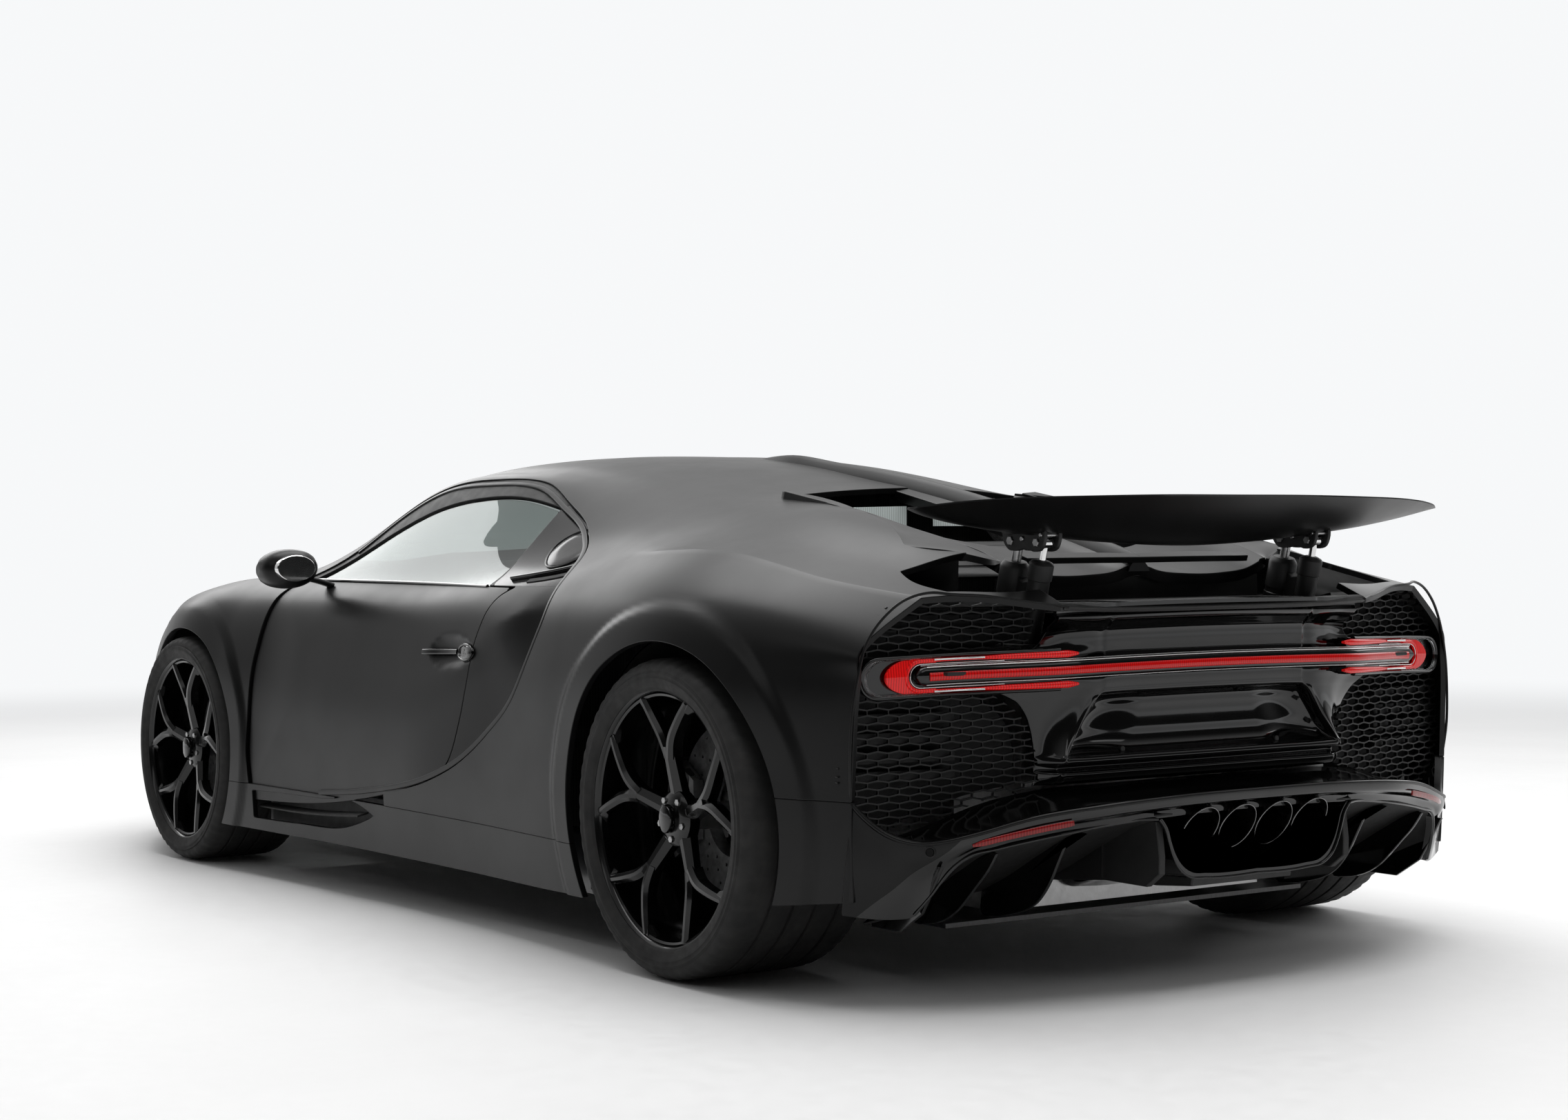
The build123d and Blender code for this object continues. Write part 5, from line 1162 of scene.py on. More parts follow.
NET_EDGE = ((190, 0), (344, 0), (344, 166), (190, 162))
net = net_on(180, 170, 22.0, 9.0, 1.8, (184, -4), NET_EDGE, deck_level, depth=5.0, facing=(0, 0, 1))
add_mesh("deck_netting", joined(net, mirrored(net), weld=False), mesh_black, "chassis")
panel("deck_net_floor", patch([[(x, -180, 806), (x, -350, 806)] for x in (1905, 2000, 2095)], (6, 6),
                              (0, 0, 1)), dark_plastic,
      slot="satin_black", depth=3.0, radius=0.5)
plates = [prism([(1838, -350), (2056, -350), (2060, -560), (2046, -690), (1930, -700), (1838, -668)], 684,
                692, axes="xy", bevel=2)]
add_solid("stay_well_floors", both_sides(*plates), satin_black)
pocket = patch([[(1850, 0, z), (1842, -150, z), (1840, -267, z), (1846, -398, z)] for z in (822, 850, 878)],
               (8, 30), (1, 0, 0))
panel("cover_pocket", pocket, dark_plastic, slot="satin_black", depth=4.0, radius=0.5)


# ---- Tail: bumper --------------------------------------------------------------------------------
# Left half of the bumper's bright edge, its face's foot and the shelf behind it, point for point
BUMPER_EDGE = ((1977, -888, 432), (1997, -864, 398), (2028, -827, 364), (2070, -784, 349), (2109, -748, 354),
               (2140, -697, 367), (2192, -581, 398), (2244, -440, 417), (2266, -270, 427), (2271, 0, 430))
BUMPER_FOOT = ((1957, -897, 198), (1985, -848, 190), (2012, -805, 188), (2033, -770, 195), (2065, -748, 240),
               (2104, -712, 300), (2150, -600, 337), (2203, -440, 364), (2236, -285, 380), (2243, 0, 386))
SHELF_FOOT = ((1958, -884, 432), (1956, -862, 398), (1960, -826, 366), (1968, -784, 352), (1977, -748, 358),
              (1985, -697, 372), (2010, -581, 410), (2038, -440, 434), (2046, -270, 438), (2048, 0, 440))
edge, foot, shelf = (np.array(line, float) for line in (BUMPER_EDGE, BUMPER_FOOT, SHELF_FOOT))
FACE_BAND = 13.0                # upright band under the edge
band = edge + (1, 0, -FACE_BAND) + 0.06 * (foot - edge)
hollow = band * 0.5 + foot * 0.5 + np.array([(4, -4, 0)] * 3 + [(-4, 4, 0)] * 3 + [(-9, 0, 0)] * 4)
face = patch((edge, band, hollow, foot), (40, 120))
CORNER_SPLIT = ((-712, 368), (-724, 352), (-800, 268), (-885, 180))     # (y, z): matt corner to gloss middle
gloss_zone = [(-y, z) for y, z in CORNER_SPLIT] + [(950, 100), (-50, 100), (-50, 460), (712, 460)]
gloss_zone = np.array([(-u, v) for u, v in gloss_zone], float)
panel("bumper_corner_face", clip(face, beyond(gloss_zone, "yz", 0)), depth=16.0, radius=1.5)
panel("bumper_lower_gloss", clip(face, within(gloss_zone, "yz", 0.5)), gloss_black, slot="gloss_black",
      replaces=["rear_bumper"], depth=16.0, radius=1.5)
add_solid("bumper_edge_strip", sweep(curve(whole(edge - (4, 0, 3)), 14), box_section(11, 8, 3.5)), body_black,
          sharp=70)
panel("bumper_shelf", patch((edge - (6, 0, 1), (edge * 0.6 + shelf * 0.4) - (0, 0, 5), shelf), (16, 90),
                            (0, 0, 1)),
      gloss_black, slot="gloss_black", depth=8.0, radius=1.0)

# ---- Tail: mesh and slats ------------------------------------------------------------------------
NET_LINE = ((390, 2054), (440, 2046), (560, 2020), (700, 1992), (800, 1974), (892, 1956))   # |y|, x


def net_x(across):
    table = np.array(NET_LINE, float)
    return np.interp(across, table[:, 0], table[:, 1])


def net_surface(u, v):
    return np.stack([net_x(u), -u, v], 1)


NET_BORDER = [(-y, z) for _, y, z in SHELF_FOOT[:8]] + [
    (450, 500), (462, 570), (490, 605), (540, 640), (600, 662), (600, 712), (500, 727), (462, 744),
    (448, 790), (443, 826)]
NET_BORDER += [tuple(p) for p in curve(((443, 826), (541, 839), (615, 850), (686, 855), (722, 856),
                                        (780, 842), (857, 762),
                                        (882, 681), (895, 581), (892, 435), (884, 432)), 14)[1:]]
NET_PITCH, NET_ROW, NET_BAR = 48.0, 15.0, 1.7
net = net_on(480, 520, NET_PITCH, NET_ROW, NET_BAR, (430, 340), NET_BORDER, net_surface, depth=8.0, gap=6.0)
add_mesh("tail_netting", joined(net, mirrored(net), weld=False), mesh_black, "chassis",
         ["rear_grilles"])

backing = [[(net_x(u) - 58, -u, z) for u in np.linspace(430, 880, 12)] for z in (346, 600, 856)]
panel("tail_backing", clip(patch(backing, (30, 40)), within(np.array([(-u, v) for u, v in NET_BORDER]), "yz",
                                                            14)), dark_plastic, slot="satin_black",
      depth=4.0, radius=0.5)
SLATS = (470, 509, 549, 589)
slats = []
for z in SLATS:
    path = [(net_x(u) - 30, -u, z + 4) for u in np.linspace(628, 884, 14)]
    slats.append(sweep(path, [(-20, -9), (16, -11), (20, -4), (14, 9), (-16, 13)]))
for z in (770, 800, 828):
    path = [(net_x(u) - 34, -u, z) for u in np.linspace(455, 800 - (z - 770), 10)]
    slats.append(sweep(path, [(-18, -4), (16, -7), (18, 0), (-14, 8)]))
add_solid("tail_slats", both_sides(*slats), satin_black)

# Rounded edge of the quarters round the tail's recess
TAIL_RIM = ((1977, -889, 434), (1985, -896, 510), (1988, -895, 581), (1993, -882, 681), (1997, -858, 761),
            (2008, -820, 812), (2018, -780, 842), (2036, -724, 857), (2056, -686, 853), (2070, -615, 849),
            (2099, -541, 838), (2142, -443, 824))
add_solid("tail_rim_edge", both_sides(sweep(curve(TAIL_RIM, 10), circle(3.2, 10))), body_black,
          sharp=80)

# ---- Tail: gloss fascia --------------------------------------------------------------------------
# z, centre x, half width and x of the number-plate recess's edge, half width and x of the outer edge
FASCIA_ROWS = (
    (818, 2136, 300, 2136, 446, 2132), (812, 2112, 300, 2112, 446, 2108), (806, 2112, 300, 2112, 446, 2108),
    (802, 2124, 300, 2124, 446, 2116), (776, 2106, 300, 2106, 444, 2086), (768, 2098, 300, 2098, 446, 2074),
    (742, 2094, 300, 2094, 462, 2062), (722, 2092, 300, 2093, 500, 2058), (692, 2090, 300, 2090, 560, 2040),
    (664, 2092, 300, 2093, 596, 2034), (645, 2090, 300, 2092, 545, 2042), (631, 2087, 306, 2091, 516, 2046),
    (622, 2064, 314, 2090, 502, 2046), (600, 2058, 333, 2088, 482, 2044), (560, 2058, 364, 2088, 462, 2040),
    (522, 2064, 393, 2094, 452, 2037), (508, 2078, 402, 2098, 450, 2036), (501, 2098, 406, 2101, 450, 2036),
    (492, 2100, 408, 2101, 450, 2036), (485, 2068, 408, 2072, 450, 2034), (476, 2066, 408, 2070, 450, 2034),
    (470, 2088, 410, 2086, 450, 2034), (448, 2078, 414, 2074, 450, 2032), (443, 2058, 414, 2056, 450, 2032))
PLAN_BOW = 26.0                 # the panel's outer ends lie further forward than its middle
rows = []
for z, x_centre, y_recess, x_recess, y_outer, x_outer in FASCIA_ROWS:
    step = y_outer - y_recess
    line = [(0, x_centre), (y_recess * 0.5, x_centre), (y_recess - 16, x_centre),
            (y_recess - 5, x_centre * 0.8 + x_recess * 0.2),
            (y_recess, x_recess - 2), (y_recess + 0.12 * step, x_recess),
            (y_recess + 0.45 * step, x_recess * 0.8 + x_outer * 0.2),
            (y_recess + 0.78 * step, x_recess * 0.42 + x_outer * 0.58), (y_outer, x_outer)]
    rows.append([(x - PLAN_BOW * (y / 450)**2 * (y < y_outer - 1) * (0.3 if y > y_recess - 20 else 0.4), -y,
                  z + 6 * (1 - (y / 450)**2) * (z > 560))
                 for y, x in line])
panel("fascia_gloss", patch(rows, (130, 96)), gloss_black, slot="gloss_black", replaces=["rear_fascia"],
      depth=9.0, radius=1.2)
BOLT_Y, BOLT_Z = 232, 512
plate_holes = [rod((2056, s * BOLT_Y, BOLT_Z), (2074, s * BOLT_Y, BOLT_Z), 6.5, 24, 1.5)
               for s in (LEFT, RIGHT)]
add_solid("plate_bolts", several(*plate_holes), satin_black)

# ---- Tail: lamp bar and loops --------------------------------------------------------------------
LAMP_PLAN = ((0, 2118), (300, 2116), (450, 2106), (560, 2068), (690, 2019), (800, 1993),
             (872, 1976))      # |y|, x


def lamp_point(across, rise=0.0, proud=0.0):
    """A point of the lamp's face: |y|, height above its middle line, distance outwards."""
    table = np.array(LAMP_PLAN, float)
    across = np.asarray(across, float)
    x = hermite(table[:, 0], table[:, 1:], np.abs(across).ravel()).reshape(across.shape)
    ahead_x = hermite(table[:, 0], table[:, 1:], np.abs(across).ravel() + 5).reshape(across.shape)
    slope = (ahead_x - x) / 5
    scale = proud / np.sqrt(1 + slope**2)
    z = 697 - 18 * (across / 860)**2 + rise
    return np.stack([x + scale, -(across - slope * scale), z + 0 * across], -1)


def lamp_loop(inner_end, turn, half_height, proud, step=10.0):
    """Open loop: in along the top, round the outer end, and back along the foot."""
    straight = np.arange(inner_end, turn, step)
    angle = np.linspace(math.pi / 2, -math.pi / 2, 15)
    across = np.concatenate([straight, turn + half_height * np.cos(angle), straight[::-1]])
    rise = np.concatenate([np.full(len(straight), half_height), half_height * np.sin(angle),
                           np.full(len(straight), -half_height)])
    return lamp_point(across, rise, proud)


def lens_section(width, depth):
    """D-shaped section of a light guide: (along the face, outwards)."""
    return [(width / 2 * math.cos(a), depth * (0.35 + 0.65 * math.sin(a)) if a <= math.pi else -depth * 0.4)
            for a in np.radians((0, 30, 60, 90, 120, 150, 180, 225, 315))]


def loop_sweep(path, width, depth, size=None):
    """Sweep with the section's depth along the lamp's outward direction."""
    flat_path = np.asarray(path)
    outwards = unit(np.stack([np.ones(len(flat_path)), 0.42 * np.sign(flat_path[:, 1]),
                              np.zeros(len(flat_path))], 1))
    along = unit(np.gradient(flat_path, axis=0))
    side = unit(np.cross(along, outwards))
    outwards = np.cross(side, along)
    section = np.array(lens_section(width, depth))
    size = np.ones(len(flat_path)) if size is None else size
    rings = flat_path[:, None] + (side[:, None] * section[None, :, :1] * size[:, None, None]
                                  + outwards[:, None] * section[None, :, 1:])
    return tube(rings)


def lamp_strip(low, high, rise, width, depth, proud, size=None):
    """A level strip of the lamp's face between two |y|, left side."""
    across = np.linspace(low, high, max(int(abs(high - low) / 12), 3))
    return loop_sweep(lamp_point(across, rise, proud), width, depth,
                      None if size is None else np.interp(across, *size))


HOUSING_TURN = 824.0
housing_outer = lamp_loop(440, HOUSING_TURN, 41, -2)
add_solid("lamp_housing_rim", both_sides(loop_sweep(housing_outer, 9, 9)), gloss_black,
          sharp=60)
floor_rows = []
for share in (1, 0.5, 0, -0.5, -1):
    reach = HOUSING_TURN + 41 * math.sqrt(1 - share**2)
    floor_rows.append(lamp_point(np.linspace(430, reach, 40), 41 * share, -10))
panel("lamp_housing_floor", patch(floor_rows, (16, 60)), gloss_black, slot="gloss_black", depth=24.0,
      radius=1.0)

bar_span = np.linspace(-742, 742, 150)
end_size = np.clip(np.sqrt(np.maximum(1 - ((np.abs(bar_span) - 720) / 23).clip(0, 1)**2, 0.03)), 0.1, 1)


def across_bar(rise, width, depth, proud, reach=742, size=None):
    """A strip right across the car along the lamp bar."""
    span = np.linspace(-reach, reach, 150)
    path = lamp_point(np.abs(span), rise, proud)
    path[:, 1] = np.sign(span) * np.abs(path[:, 1])
    return loop_sweep(path, width, depth, size)


add_solid("lamp_bar_housing", across_bar(0, 42, 14, -2, 744, end_size), gloss_black,
          replaces=["tail_lamp"], sharp=50)
add_solid("lamp_bar_red", across_bar(-2, 17, 4.5, 11, 716), red_lens, sharp=60)
add_solid("lamp_bar_trim", several(across_bar(18, 2.6, 1.6, 10, 722), across_bar(21.5, 1.6, 1.2, 6, 734),
                                   across_bar(-19, 1.8, 1.4, 9, 722)), chrome, sharp=80)

loop = lamp_loop(700, 733, 31, 2)
prongs = [lamp_strip(398, 700, r, 12, 7, 3, ((398, 420, 560, 610, 700), (0.5, 1.25, 0.9, 0.5, 0.62)))
          for r in (32, -32)]
add_solid("lamp_loops_red", both_sides(loop_sweep(loop, 9, 7), *prongs), red_glow, sharp=60)
trims = [loop_sweep(lamp_loop(560, 733, 24.5, 7), 1.8, 1.4)]
trims += [lamp_strip(600, 705, r, 4.2, 2.4, 9) for r in (33, -33)]
add_solid("lamp_loop_trims", both_sides(*trims), chrome, sharp=80)

glow_rows = []
for share in np.cos(np.linspace(0, math.pi, 9)):
    outer, inner = 742 + 62 * math.sqrt(max(1 - share**2, 0)) + 6, 733 + 36 * math.sqrt(max(1 - share**2, 0))
    glow_rows.append(lamp_point(np.linspace(inner, outer, 12), 36 * share, 2 + 4 * (1 - abs(share))))
glow = patch(glow_rows, (26, 20))
panel("lamp_end_glow", glow, red_glow, slot="red_lamp", depth=8.0, radius=1.0)
add_solid("lamp_end_clear", both_sides(loop_sweep(lamp_loop(690, HOUSING_TURN - 8, 37, 3), 5, 3)),
          clear_lens, sharp=60)

# ---- Tail: reflectors and sensors ----------------------------------------------------------------
reflector = curve(((2138, -700, 343), (2166, -648, 357), (2195, -581, 371), (2226, -505, 384)), 12)
add_solid("rear_reflectors", both_sides(sweep(reflector, box_section(5, 13, 2), size=np.interp(
    np.arange(len(reflector)), (0, 2, len(reflector) - 2, len(reflector) - 1), (0.45, 1, 1, 0.8)))),
          reflector_red,
    sharp=60)
SENSOR_AT, SENSOR_WAY = (2086, -769, 330), (0.62, -0.72, 0.1)
SENSOR_RADIUS, SENSOR_RING = 8.5, 10.5
p, d = np.array(SENSOR_AT, float), unit(np.array(SENSOR_WAY, float))
side = unit(np.cross(d, (0, 0, 1)))
rise = np.cross(side, d)
loop_path = [p + d * 1.6 + side * SENSOR_RING * math.cos(a) + rise * SENSOR_RING * math.sin(a)
             for a in np.linspace(0, 2 * math.pi, 29)[:-1]]
add_solid("parking_sensors", both_sides(rod(p - d * 6, p + d * 2.4, SENSOR_RADIUS, 24, 1.0)), body_black)
add_solid("parking_sensor_rings", both_sides(sweep(loop_path, circle(1.5, 8), d, closed=True)), dark_plastic)

# ---- Tail: exhaust, tray and diffuser ------------------------------------------------------------
TRAY_OUTER = ((-284, 378), (-268, 358), (-258, 330), (-246, 298), (-226, 268), (-200, 252), (-150, 246),
              (0, 245))
tray_half = curve([(0, y, z) for y, z in TRAY_OUTER], 9)
tray_line = whole(tray_half)[:, 1:]
inner_line = tray_line * (0.966, 1) + np.stack([np.zeros(len(tray_line)),
                                                9 * np.clip((330 - tray_line[:, 1]) / 60, 0, 1)], 1)
ring = np.concatenate([tray_line, inner_line[::-1]])
tray_rings = []
for x, drop in ((2241, 0), (2150, 4), (2040, 12), (1930, 34), (1850, 60)):
    low = np.clip((378 - ring[:, 1]) / 130, 0, 1)
    tray_rings.append(np.c_[np.full(len(ring), x), ring[:, 0], ring[:, 1] - drop * low])
add_solid("exhaust_tray", tube(tray_rings), gloss_black, replaces=["diffuser"], sharp=50)
lip_path = curve(np.array([(2242, y, z) for y, z in TRAY_OUTER]), 9)
lip_outer = curve(((2033, -770, 196), (2063, -749, 238), (2100, -716, 300), (2117, -692, 320),
                   (2138, -639, 332),
                   (2190, -490, 359), (2232, -310, 379), (2240, -286, 378)), 10)
add_solid("diffuser_lip", several(sweep(whole(lip_path), box_section(7, 5, 2)),
                                  both_sides(sweep(lip_outer, box_section(9, 6, 2.4)))), gloss_black,
          sharp=60)
panel("exhaust_recess_back", patch([[(2070, -290, z), (2070, -150, z), (2070, 0, z)]
                                    for z in (240, 330, 400)], (6, 10)),
      dark_plastic, slot="satin_black", depth=4.0, radius=0.5)
panel("exhaust_recess_roof", patch([[(x, -290, z), (x, -150, z + 2), (x, 0, z + 3)] for x,
                                    z in ((2240, 384), (2160, 392), (2066, 396))],
                                   (8, 12), (0, 0, -1)), dark_plastic, slot="satin_black", depth=4.0,
      radius=0.5)
PIPE_Z, PIPE_RADIUS, PIPE_PITCH, PIPE_RAKE = 348.0, 51.0, 108.5, 0.58
RIM_INSET = 1.8
pipes, bores = [], []
for k in range(4):
    y = (k - 1.5) * PIPE_PITCH
    turn = np.array(circle(1, 48))

    def pipe_ring(r, x, rake=PIPE_RAKE):
        return np.c_[x + rake * r * turn[:, 1], y + r * turn[:, 0], PIPE_Z + r * turn[:, 1]]
    pipes.append(tube([pipe_ring(r, x, rake) for r, x, rake in (
        (PIPE_RADIUS, 2050, 0), (PIPE_RADIUS, 2130, 0.2), (PIPE_RADIUS, 2229, PIPE_RAKE),
        (PIPE_RADIUS + 0.6, 2234, PIPE_RAKE),
        (PIPE_RADIUS - 0.6, 2237, PIPE_RAKE), (PIPE_RADIUS - 3, 2237, PIPE_RAKE),
        (PIPE_RADIUS - 4.4, 2233, PIPE_RAKE),
        (PIPE_RADIUS - 5, 2150, 0.2), (PIPE_RADIUS - 6, 2080, 0))]))
    bores.append(rod((2076, y, PIPE_Z), (2082, y, PIPE_Z), PIPE_RADIUS - 6, 32, 1))
EXHAUST_BOX = ((1870, 213), (1877, 321), (2190, 374), (2232, 372), (2242, 300), (2241, 262), (2200, 232),
               (2070, 233))   # x, z
add_solid("exhaust_box_sides", both_sides(prism(EXHAUST_BOX, -284, -266, bevel=2)), satin_black)
rims = [sweep([(2236.5 + PIPE_RAKE * r * math.sin(a), y + r * math.cos(a), PIPE_Z + r * math.sin(a))
               for a in np.linspace(0, 2 * math.pi, 49)[:-1]], circle(1.5, 8), (1, 0, 0), closed=True)
        for y, r in [((k - 1.5) * PIPE_PITCH, PIPE_RADIUS - RIM_INSET) for k in range(4)]]
add_solid("exhaust_rims", several(*rims), chrome_black, sharp=60)
add_solid("exhaust_pipes", several(*pipes), exhaust_steel, replaces=["exhaust"],
          sharp=40)
add_solid("exhaust_pipe_bores", several(*bores), dark_plastic)

ceiling = []
for share, drop in ((0, 0), (0.06, 5), (0.4, 62), (0.75, 130), (1, 170)):
    line = []
    for x, y, z in lip_outer[2:-1:3]:
        line.append((x + (1850 - x) * share, y, max(z - drop * (z - 135) / 240 - 4, 136)))
    ceiling.append(line)
panel("diffuser_ceiling", patch(ceiling, (20, 40), (0.3, 0, -1)), dark_plastic, slot="satin_black",
      depth=5.0, radius=0.5)
vane_shapes = (((-636, ((2139, 322), (2110, 284), (2079, 254), (2046, 222), (2012, 192), (1975, 170),
                        (1900, 150), (1860, 150), (1860, 190), (2000, 268), (2100, 330)))),
               ((-449, ((2200, 356), (2152, 352), (2136, 326), (2112, 285), (2091, 248), (2070, 220),
                        (2048, 198), (2010, 176),
                        (1964, 162), (1900, 150), (1860, 150), (1860, 200), (2000, 290), (2100, 346)))))
vanes = [prism(curve(shape + shape[:1], 14)[:-1], y - 4, y + 4, bevel=1.6) for y, shape in vane_shapes]
outer_wall = prism([(2034, 196), (2064, 240), (2100, 300), (2070, 300), (1990, 262), (1860, 190),
                    (1860, 150), (1960, 150)],
                   -752, -744, bevel=1.6)
add_solid("diffuser_vanes", both_sides(*vanes, outer_wall), gloss_black, sharp=40)
skid = prism([(1860, 236), (2085, 236), (2200, 240), (2196, 222), (2085, 212), (1860, 212)], -150, 150,
             bevel=3)
add_solid("tray_skid", skid, satin_black)


# ---- Wing, brackets and stays --------------------------------------------------------------------
# half-span y, leading x and z, belly x and z, trailing x and z, thickness
WING = (
    (0, 1925, 992, 2020, 948, 2192, 1056, 40), (200, 1924, 994, 2018, 955, 2190, 1056, 38),
    (406, 1922, 1001, 2008, 971, 2182, 1053, 32), (580, 1930, 1012, 2006, 990, 2146, 1049, 22),
    (680, 1950, 1021, 2010, 1006, 2113, 1043, 14), (744, 1984, 1028, 2022, 1020, 2082, 1036, 8),
    (776, 2026, 1031, 2040, 1029, 2058, 1031, 3))
WING_CHORD_SHARE = (0, 0.38, 1)
WING_EDGE = 3.0                 # trailing edge's thickness


def wing_mesh():
    table = np.array(WING, float)
    table = np.concatenate([table[:0:-1] * ([-1] + [1] * 7), table])
    spans = np.concatenate([np.linspace(a, b, 9)[:-1] for a, b in zip(table[:-1, 0], table[1:, 0])]
                           + [table[-1:, 0]])
    rows = hermite(table[:, 0], table[:, 1:], spans)
    t = (1 - np.cos(np.linspace(0, math.pi, 25))) / 2
    rings = []
    for y, row in zip(spans, rows):
        lower = hermite(WING_CHORD_SHARE, row[:6].reshape(3, 2), t)
        swell = 2.6 * np.sqrt(t) * (1 - t) * row[6] + WING_EDGE * t
        upper = lower + np.stack([np.zeros_like(t), swell], 1)
        ring = np.concatenate([lower, upper[::-1][:-1]])
        rings.append(np.c_[ring[:, 0], np.full(len(ring), y), ring[:, 1]])
    return tube(rings)


add_solid("wing_blade_skin", wing_mesh(), body_black, "wing_blade", ["wing"], sharp=50)

PIVOT, ROD_EYE, STAY_Y = (1938.0, 962.0), (2024.0, 958.0), 406.0
LUG_GAP, LUG_THICKNESS = 16.0, 9.0
LUG = curve(((1912, 1000), (1915, 958), (1930, 943), (1952, 940), (1990, 944), (2016, 938), (2040, 944),
             (2050, 962), (2048, 1000)), 8)
brackets, bolts = [], []
for side in (LEFT, RIGHT):
    for inner in (LUG_GAP, -LUG_GAP - LUG_THICKNESS):
        y = side * STAY_Y + inner
        brackets.append(prism(LUG, y, y + LUG_THICKNESS))
    brackets.append(prism(curve(((1910, 1002), (1912, 986), (1980, 980), (2046, 984), (2052, 1006)), 10),
                          side * STAY_Y - 34, side * STAY_Y + 34))
    for x, z, r in ((*PIVOT, 11), (*ROD_EYE, 10), (1978, 966, 6), (2040, 974, 5)):
        reach = LUG_GAP + LUG_THICKNESS + 4
        bolts.append(rod((x, side * STAY_Y - reach, z), (x, side * STAY_Y + reach, z), r, 6 if r > 6 else 16,
                         1.5))
add_solid("wing_brackets", several(*brackets), satin_black, "wing_blade")
add_solid("wing_bolts", several(*bolts), steel, "wing_blade")

LEAN = math.radians(14.4)
STAY_AXIS = np.array((math.sin(LEAN), 0, math.cos(LEAN)))
STAY_SQUARE = np.array((math.cos(LEAN), 0, -math.sin(LEAN)))
BARREL_PITCH = 84.0


def on_stay(side, along, behind_by=0.0):
    return np.array((PIVOT[0], side * STAY_Y, PIVOT[1])) + STAY_AXIS * along + STAY_SQUARE * behind_by


def stay_parts(side):
    """Column, web and tilt barrel, with collars and a gland."""
    rings = ((-355, 33), (-130, 33), (-128, 31), (-118, 31), (-116, 33), (-58, 33), (-52, 30), (-45, 24))
    square = np.array(circle(1, 28))
    parts = []
    for behind_by, rows in ((0, rings),
                            (BARREL_PITCH, ((-355, 24), (-66, 24), (-64, 27), (-30, 27), (-26, 24),
                                            (-22, 15)))):
        parts.append(tube([on_stay(side, a, behind_by) + STAY_SQUARE * square[:, :1] * r
                           + np.array((0, 1, 0)) * square[:, 1:] * r
                           for a, r in rows]))
    web = [on_stay(side, a, b) for a, b in ((-355, 8), (-355, BARREL_PITCH - 8), (-70, BARREL_PITCH - 8),
                                            (-80, 46), (-62, 8))]
    parts.append(prism([(p[0], p[2]) for p in web], side * STAY_Y - 13, side * STAY_Y + 13))
    return parts


add_solid("stay_columns", several(*stay_parts(LEFT), *stay_parts(RIGHT)), satin_black, "wing_lift",
          ["wing_stays"])
add_solid("stay_necks", several(*[rod(on_stay(s, -50), on_stay(s, -6), 11) for s in (LEFT, RIGHT)],
                                *[rod(on_stay(s, 0) - (0, 15, 0), on_stay(s, 0) + (0, 15, 0), 15)
                                  for s in (LEFT, RIGHT)]),
          steel, "wing_lift")
eye_rise = (ROD_EYE[1] - PIVOT[1] + BARREL_PITCH * math.sin(LEAN)) / math.cos(LEAN)
add_solid("tilt_rod_pair", several(*[rod(on_stay(s, eye_rise - 140, BARREL_PITCH),
                                         on_stay(s, eye_rise - 8, BARREL_PITCH), 8)
                                     for s in (LEFT, RIGHT)],
                                   *[rod((ROD_EYE[0], s * STAY_Y - 11, ROD_EYE[1]),
                                         (ROD_EYE[0], s * STAY_Y + 11, ROD_EYE[1]), 13)
                                     for s in (LEFT, RIGHT)]),
          chrome, "rods", ["tilt_rods"])


# ---- Wheels --------------------------------------------------------------------------------------
SPOKE_COUNT = 5
TYRE_SIDES = 180
RIM_SIDES = 96


def tyre_profile(radius, width, rim):
    """Closed section of a tyre, (radius, outboard): grooved tread, round shoulders, ringed sidewalls."""
    half = width / 2
    tread, groove, deep = half - 30, 5.0, 7.0
    points = []
    for place_at in (-0.62, -0.2, 0.2, 0.62):
        middle = place_at * tread
        points += [(radius - 1.5, middle - groove), (radius - deep, middle - groove + 1.5),
                   (radius - deep, middle + groove - 1.5), (radius - 1.5, middle + groove)]
    crown = [(radius - 3, -tread), *points, (radius - 3, tread)]
    wall = [(radius - 7, tread + 13), (radius - 14, half - 7), (radius - 24, half - 2.5),
            (radius - 30, half - 3.5),
            (rim + 38, half), (rim + 30, half - 1.2), (rim + 28, half), (rim + 20, half - 1.5),
            (rim + 17, half - 4), (rim + 8, half - 5), (rim + 5, half - 8), (rim + 1, half - 12)]
    return crown + wall + [(r, -out) for r, out in reversed(wall)]


def shoulder_blocks(profile, k):
    """Cross grooves: every third ring's tread edge and shoulder are pressed in."""
    if k % 3:
        return profile
    pressed = profile.copy()
    outer = np.abs(profile[:, 1]) > np.abs(profile[:, 1]).max() - 48
    high = profile[:, 0] > profile[:, 0].max() - 16
    pressed[outer & high, 0] -= 3.0
    return pressed


def rim_profile(face, rim):
    """Closed section of the rim: stepped lip outboard, drop centre, inner lip."""
    outside = [(rim + 7, face - 2), (rim + 6, face + 2), (rim - 1, face + 3), (rim - 5, face - 1),
               (rim - 7, face - 6),
               (rim - 12, face - 9), (rim - 13, face - 26), (rim - 24, face - 60), (rim - 24, -face + 40),
               (rim - 12, -face + 12), (rim - 4, -face - 2), (rim + 6, -face - 1)]
    return outside + [(rim + 2, -face + 6), (rim - 6, -face + 16), (rim - 18, -face + 44),
                      (rim - 18, face - 62), (rim - 4, face - 26), (rim, face - 10)]


